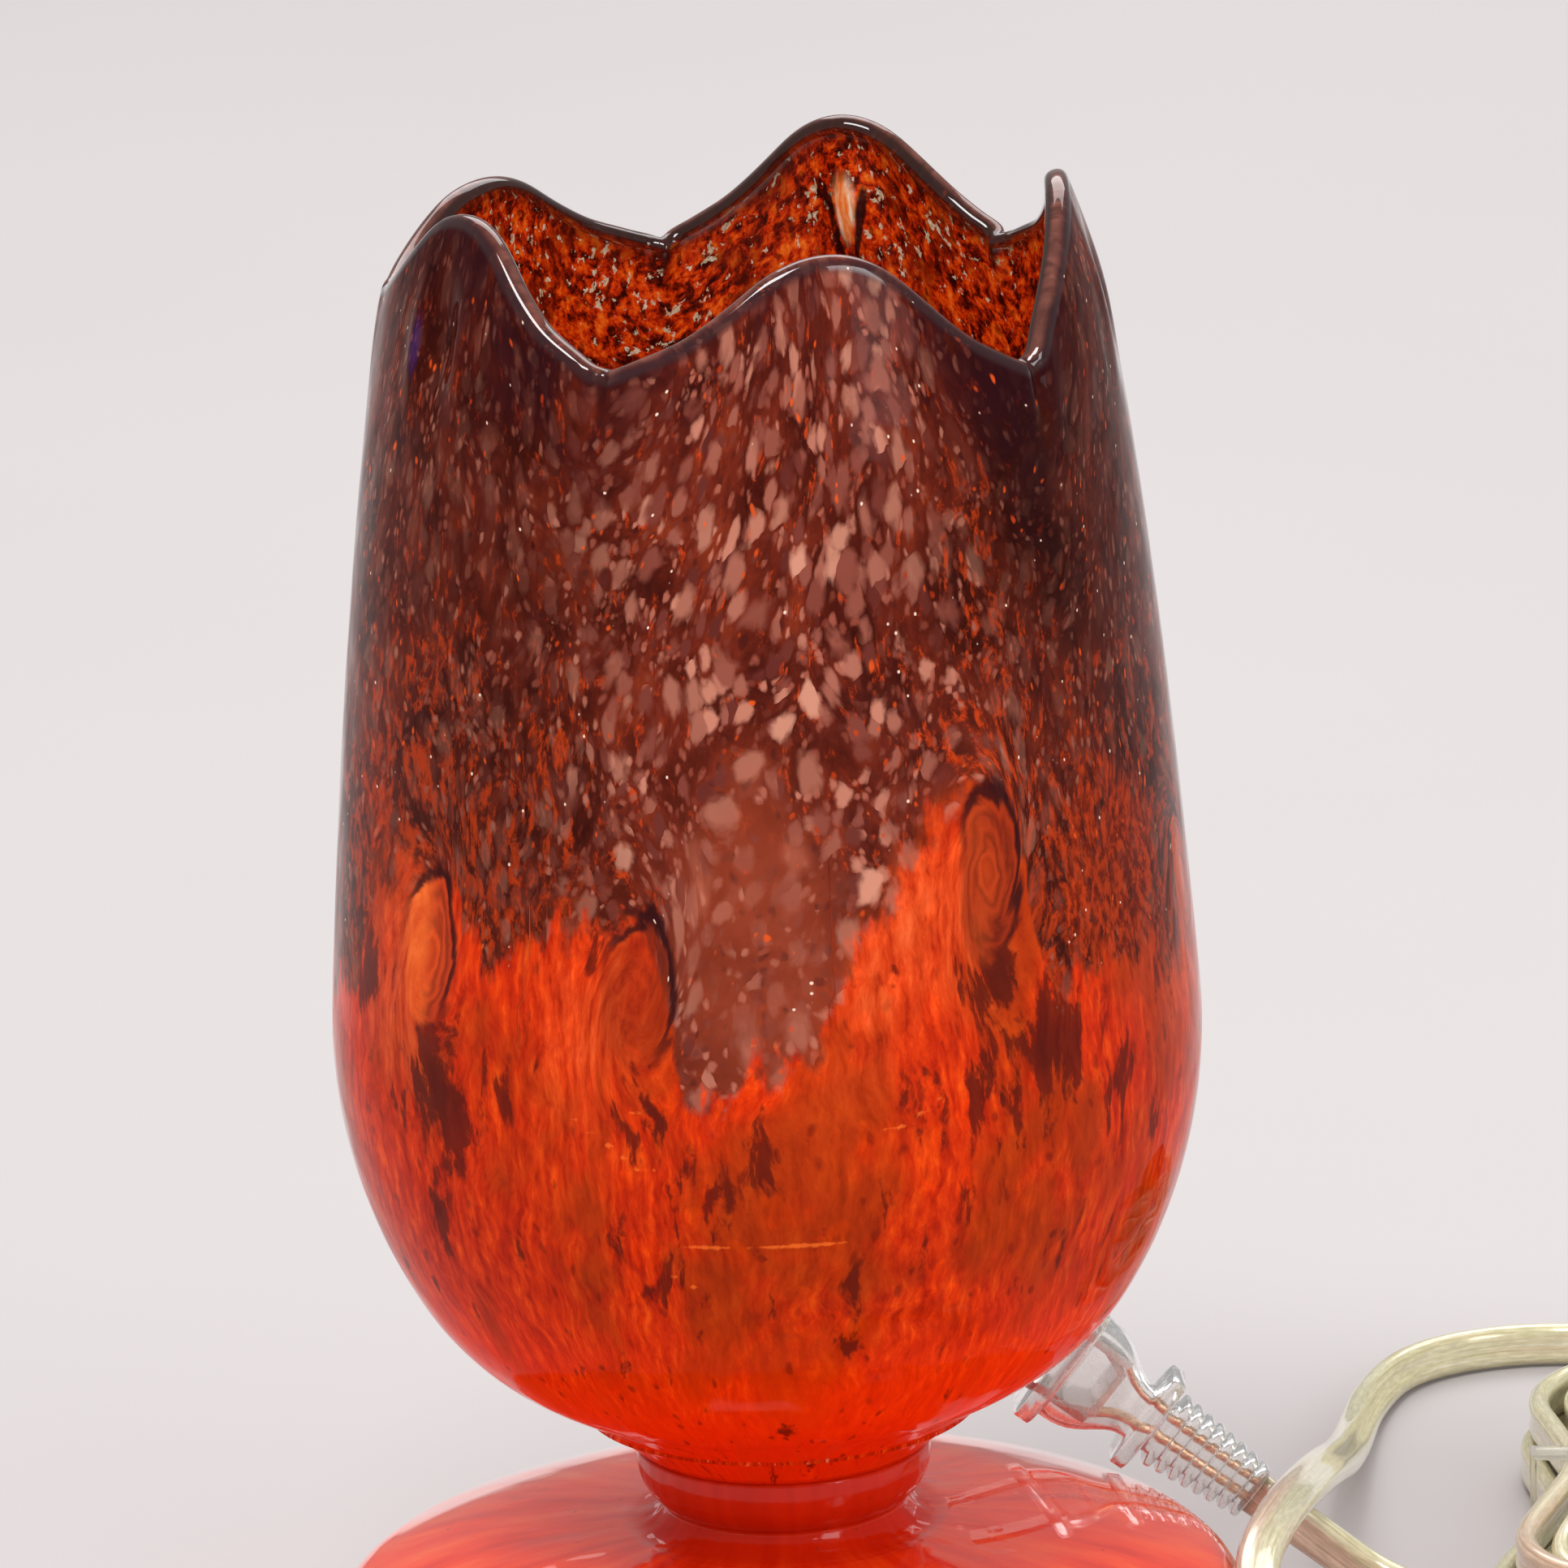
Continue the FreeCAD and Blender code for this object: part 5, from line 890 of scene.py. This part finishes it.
    # Painted backlight: pale spots where light shows through clear glass from behind
    cloud = noise(moved(flow, (4, 4, 4)), 0.045, 3, 0.6)
    speck = noise(stretch(grain, (1, 1, 0.75), (8, 2, 5)), 0.62, 3, 0.6)
    clear_spot_backlight = step(scaled(cloud, 0.45, speck), 0.86, 0.9)
    pale = ramp(noise(grain, 1.5, 2), (0.35, (0.5, 0.36, 0.18)), (0.65, (0.82, 0.7, 0.52)))
    warm = lay(warm, pale, clear_spot_backlight, 0.9)
    inside = mix(step(zone, -0.4, 0.4), mix(0.5, lower, warm), warm)
    color = mix(step(inner, 0.8, 0.95), outer, inside)

    # The lip with its painted sheen, the pinch marks with painted backlight and painted shade, the creases'
    # painted shade and the painted glints
    # Painted sheen: the brownish mauve on the lip's top stands in for the sky's reflection; the lip's inner
    # half is left dark
    lip = mix(step(noise(tall, 0.5, 3), 0.3, 0.7), (0.07, 0.02, 0.014), (0.16, 0.052, 0.038))
    lip = mix(step(inner, 0.45, 0.62), lip, (0.018, 0.005, 0.003))
    color = lay(color, (0.022, 0.005, 0.007), step(edge, 0.35, 0.95), step(inner, 0.35, 0.1), 0.8)
    color = lay(color, lip, step(inner, 0.15, 0.4), step(inner, 0.99, 0.7), 0.9)
    color = lay(color, (0.04, 0.006, 0.003), edge, step(inner, 0.7, 1), 0.8)
    # Painted backlight: light shining through the thin glass of each pinch mark, seen from the inside
    painted_pinch_backlight = ramp(fine, (0.4, (0.86, 0.19, 0.03)), (0.52, (0.9, 0.42, 0.19)), (0.62, (0.92, 0.78, 0.62)))
    color = lay(color, painted_pinch_backlight, step(attribute("pinch_backlight"), 0.5, 0.85), on_inside, 0.9)
    # Painted shade: dark lines along both edges of each pinch mark, on the inside
    painted_pinch_shade = step(attribute("painted_pinch_shade"), 0.3, 0.7)
    color = lay(color, (0.022, 0.003, 0.002), painted_pinch_shade, on_inside, 0.95)
    # Painted shade: a dark line down the crease under each notch
    color = mix(step(attribute("painted_crease_shade"), 0.3, 0.8, 0, 0.85), color, (0.03, 0.004, 0.004))
    # Painted glints: small white sparkles laid on as colour
    painted_glint = dots(stretch(flow, (1, 1, 0.8), (1, 8, 3)), 1, (0.28, 0.14), (0.982, 0.984))
    color = lay(color, (0.9, 0.66, 0.52), painted_glint, share, step(inner, 0.5, 0.4), 0.8)
    look.give("Base Color", color)
    look.give("Transmission Weight", product(
        step(border, 0.2, -0.4, 0.06, 0.24), step(large_flecks, 0.2, 0.8, 1, 0.5),
        step(high, 24, 50), step(edge, 0.8, 0.3, 0.5, 1)))
    look.give("Specular IOR Level", step(high, 40, 110, 0.05, 0.12))
    look.give("Coat Weight", step(edge, 0.55, 0.95, 0.02, 1))
    look.bump(scaled(large_flecks, 0.02, noise(flow, 0.05, 2)), 0.35, 0.0025)
    return look


shade = shade_mesh()
dress(shade, shade_material())
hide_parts("tulip_shade")


# Glass base

BASE_COLUMNS, BASE_WALL, BASE_PATTERN_RADIUS = 240, 4.6, 50


def base_mesh():
    """Closed glass: the dome, the neck, the bore and the hollow underside."""
    outside = profile(
        (57, 8), (5.2, (75, 28)), (1.25, (68.5, 35.1)), (1.1, (40, 42.8)), (0, (26, 44.4)), step=1.2)
    neck = profile((26, 44.4), (-1.5, (19.7, 48.2)), (1.2, (24, 56)), (0, (24, 58)), step=0.6)
    place, normal = resampled(outside, np.linspace(0, distances(outside)[-1], 52))
    hollow = (place - normal * BASE_WALL)[::-1]
    hollow = hollow[(hollow[:, 1] > 12.6) & (hollow[:, 0] > 14.5)]
    bore = ((18.5, 58), (18.5, 57), (HOLE, 57), (HOLE, 52), (14, 52), (14, 45.9))
    section = np.concatenate([outside, neck[1:], bore, hollow, ((50, 12.6), (50, 8))])
    along = distances(section)
    azimuth = azimuths(BASE_COLUMNS)
    turn = np.radians(azimuth)
    rows = []
    for index, (r, z) in enumerate(section):
        swell = waviness(azimuth, along[index], 11, 0.18) if 4 < index < len(outside) - 3 else 0
        rows.append(ring(r + swell * min(1, r / 60) * 0.6, turn, z + swell * (1 - min(1, r / 80))))
    count = len(rows)
    piece = mesh_piece("glass_base_dome", np.concatenate(rows), grid_faces(count, BASE_COLUMNS, wrap=True))
    put(piece.data, "flow", ring(BASE_PATTERN_RADIUS, np.tile(turn, count), np.repeat(along, BASE_COLUMNS)))
    dome = np.where(section[:, 1] > 50, 0, smooth(section[:, 0], 21, 27))
    put(piece.data, "dome", np.repeat(dome, BASE_COLUMNS))
    return piece


def base_material():
    """Transparent orange red glass with faint flow lines."""
    look = Shader("base_glass", rough=0.03, IOR=1.4, Specular_IOR_Level=0.12,
                  Coat_Roughness=0.02, Coat_IOR=1.95)
    flow, dome = look.attribute("flow", "Vector"), look.attribute("dome")
    veins = look.noise(look.stretch(look.warped(flow, 0.04, 6), (1, 1, 0.25)), 0.16, 4, 0.55)
    color = look.ramp(veins, (0.3, (0.7, 0.02, 0.001)), (0.48, (0.88, 0.04, 0.003)),
                      (0.62, (0.95, 0.075, 0.006)), (0.8, (0.98, 0.14, 0.02)))
    # Painted shade: the neck, under the bowl, gets a darker red than the dome
    color = look.mix(dome, look.mix(veins, (0.62, 0.01, 0.001), (0.92, 0.03, 0.002)), color)
    seeds = look.dots(flow, 0.35, (0.2, 0.1), (0.86, 0.9))
    look.give("Base Color", look.lay(color, (0.3, 0.02, 0.004), seeds, 0.5))
    look.give("Transmission Weight", look.step(dome, 0, 1, 0.4, 0.14))
    look.give("Coat Weight", look.step(dome, 0, 1, 0.05, 1))
    look.bump(look.noise(flow, 0.045, 2), 0.5, 0.003)
    return look


base = base_mesh()
dress(base, base_material())
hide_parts("glass_base")


# Hardware

def marked(look, marks, roughness, strength):
    """Marks that show in both gloss and relief."""
    look.give("Roughness", look.step(marks, 0.3, 0.7, *roughness))
    look.bump(marks, strength, 0.0002)
    return look


def metal(name, color, rough=0.3, grain=(0.05, 0.05, 1.5), tint=0.25):
    """Machined or plated metal with fine marks and slightly uneven colour."""
    look = Shader(name, Metallic=1)
    here = look.coordinates()
    darker = tuple(c * (1 - tint) for c in color)
    look.give("Base Color", look.mix(look.step(look.noise(here, 0.15, 3), 0.35, 0.7), color, darker))
    return marked(look, look.noise(look.stretch(here, grain), 1, 3), (rough * 0.7, rough * 1.5), 0.12)


def moulded(name, color, rough, grain=1.4, depth=0.2):
    """Moulded plastic, rubber or card with a fine skin."""
    look = Shader(name)
    here = look.coordinates()
    paler = tuple(c * 1.25 + 0.01 for c in color)
    look.give("Base Color", look.mix(look.step(look.noise(here, 0.12, 2), 0.4, 0.7), color, paler))
    return marked(look, look.noise(here, grain, 3), (rough * 0.85, rough * 1.2), depth)


def frosted(name, color):
    """Glass with a fine frosted skin."""
    look = Shader(name, color, Specular_IOR_Level=0.3)
    return marked(look, look.noise(look.coordinates(), 1.5, 3), (0.35, 0.55), 0.15)


DRESS = (
    (metal("brass", (0.72, 0.5, 0.22), 0.28), "cap_bushing", "centre_contact", "holder_cap", "holder_shell",
     "hot_terminal_screw", "switch_fixed_contacts", "switch_rotor_contact"),
    (metal("zinc_steel", (0.55, 0.56, 0.57), 0.35), "threaded_tube", "hex_nuts", "lock_washers", "check_ring",
     "neutral_terminal_screw", "set_screw", "switch_screws"),
    (moulded("plate_steel", (0.018, 0.018, 0.018), 0.35, 2, 0.1), "base_plate"),
    (moulded("black_rubber", (0.016, 0.016, 0.016), 0.65, 2.5, 0.3), "rim_gasket", "bumper_feet"),
    (clear_stuff("clear_silicone", (0.82, 0.82, 0.78), 0.3, 0.8, 2, 0.2, 0.0003, Transmission_Weight=0.35),
     "neck_seal", "shade_seal"),
    (moulded("black_plastic", (0.02, 0.02, 0.02), 0.4), "cord_bushing", "switch_thumbwheel"),
    (moulded("fibre_card", (0.3, 0.2, 0.12), 0.8, 1.2, 0.5), "shell_liner"),
    (moulded("phenolic", (0.05, 0.025, 0.018), 0.35), "holder_block"),
    (metal("aluminium", (0.78, 0.78, 0.79)), "screw_shell", "bulb_cap"),
    (moulded("core_insulation", (0.7, 0.68, 0.6), 0.5), "inner_cord"),
    (wire_material(), "holder_leads", "switch_bypass_core"),
    (frosted("frosted_glass", (0.44, 0.44, 0.425)), "bulb_glass"),
    (clear_stuff("clear_glass", (0.92, 0.95, 0.93), 0.05, 0.4, 2, 0.2, 0.0004, Transmission_Weight=0.9),
     "bulb_stem"),
    (moulded("black_glass", (0.012, 0.012, 0.014), 0.12, 0.8, 0.1), "bulb_insulator"),
    (metal("solder", (0.6, 0.6, 0.6), 0.4, (0.4, 0.4, 0.4)), "bulb_contact"),
    (metal("tungsten", (0.3, 0.3, 0.32), 0.45, (1, 1, 1)), "bulb_filament"),
    (moulded("switch_plastic", (0.085, 0.048, 0.03), 0.32, 1.6, 0.15), "switch_upper_case",
     "switch_lower_case"),
    (clear_stuff("clear_tie", (0.9, 0.88, 0.8), 0.2, 0.25, 1, 0.1, 0.0003,
                 Transmission_Weight=0.85, IOR=1.3), "hank_tie"),
    (metal("nickel", (0.68, 0.67, 0.64), 0.22, (1.5, 0.05, 0.05), 0.12),
     "plug_blade_narrow", "plug_blade_wide"))
for shader, *nodes in DRESS:
    for node in nodes:
        dress(node, shader)


# Floor and light

def floor(half):
    """A pale, faintly cloudy floor."""
    mesh = bpy.data.meshes.new("floor")
    corners = [(-half, -half, 0), (half, -half, 0), (half, half, 0), (-half, half, 0)]
    mesh.from_pydata(corners, [], [(0, 1, 2, 3)])
    ground = bpy.data.objects.new("floor", mesh)
    scene.collection.objects.link(ground)
    look = Shader("floor", rough=0.85, Specular_IOR_Level=0.2)
    cloud = look.noise(look.add("ShaderNodeTexCoord").outputs["Object"], 2.2, 4)
    look.give("Base Color", look.mix(cloud, (0.43, 0.404, 0.404), (0.468, 0.444, 0.444)))
    dress(ground, look)


def lamp(name, place, aim, size, power):
    """An area light, itself unseen."""
    light = bpy.data.lights.new(name, "AREA")
    light.shape, light.size, light.size_y = "RECTANGLE", *size
    light.energy = power
    holder = bpy.data.objects.new(name, light)
    holder.location = place
    holder.rotation_euler = (Vector(aim) - Vector(place)).to_track_quat("-Z", "Y").to_euler()
    holder.visible_camera = False
    scene.collection.objects.link(holder)


def sky():
    """An even sky, dimmer in reflections."""
    world = bpy.data.worlds.new("sky")
    world.use_nodes = True
    nodes, links = world.node_tree.nodes, world.node_tree.links
    path, dim = nodes.new("ShaderNodeLightPath"), nodes.new("ShaderNodeMapRange")
    backdrop = nodes["Background"]
    backdrop.inputs["Color"].default_value = (1, 0.99, 0.985, 1)
    dim.inputs["To Min"].default_value, dim.inputs["To Max"].default_value = 1, 0.3
    links.new(path.outputs["Is Glossy Ray"], dim.inputs["Value"])
    links.new(dim.outputs["Result"], backdrop.inputs["Strength"])
    scene.world = world


floor(14)
lamp("key", (-0.35, -0.85, 1.75), (0, 0, 0.15), (0.9, 0.5), 24)
lamp("fill", (1.5, -1.6, 0.9), (0, 0, 0.12), (0.8, 1.2), 16)
lamp("back", (0.2, 1.4, 1.6), (0, 0, 0.1), (1.8, 1.2), 20)
sky()

scene.view_settings.view_transform = "Standard"
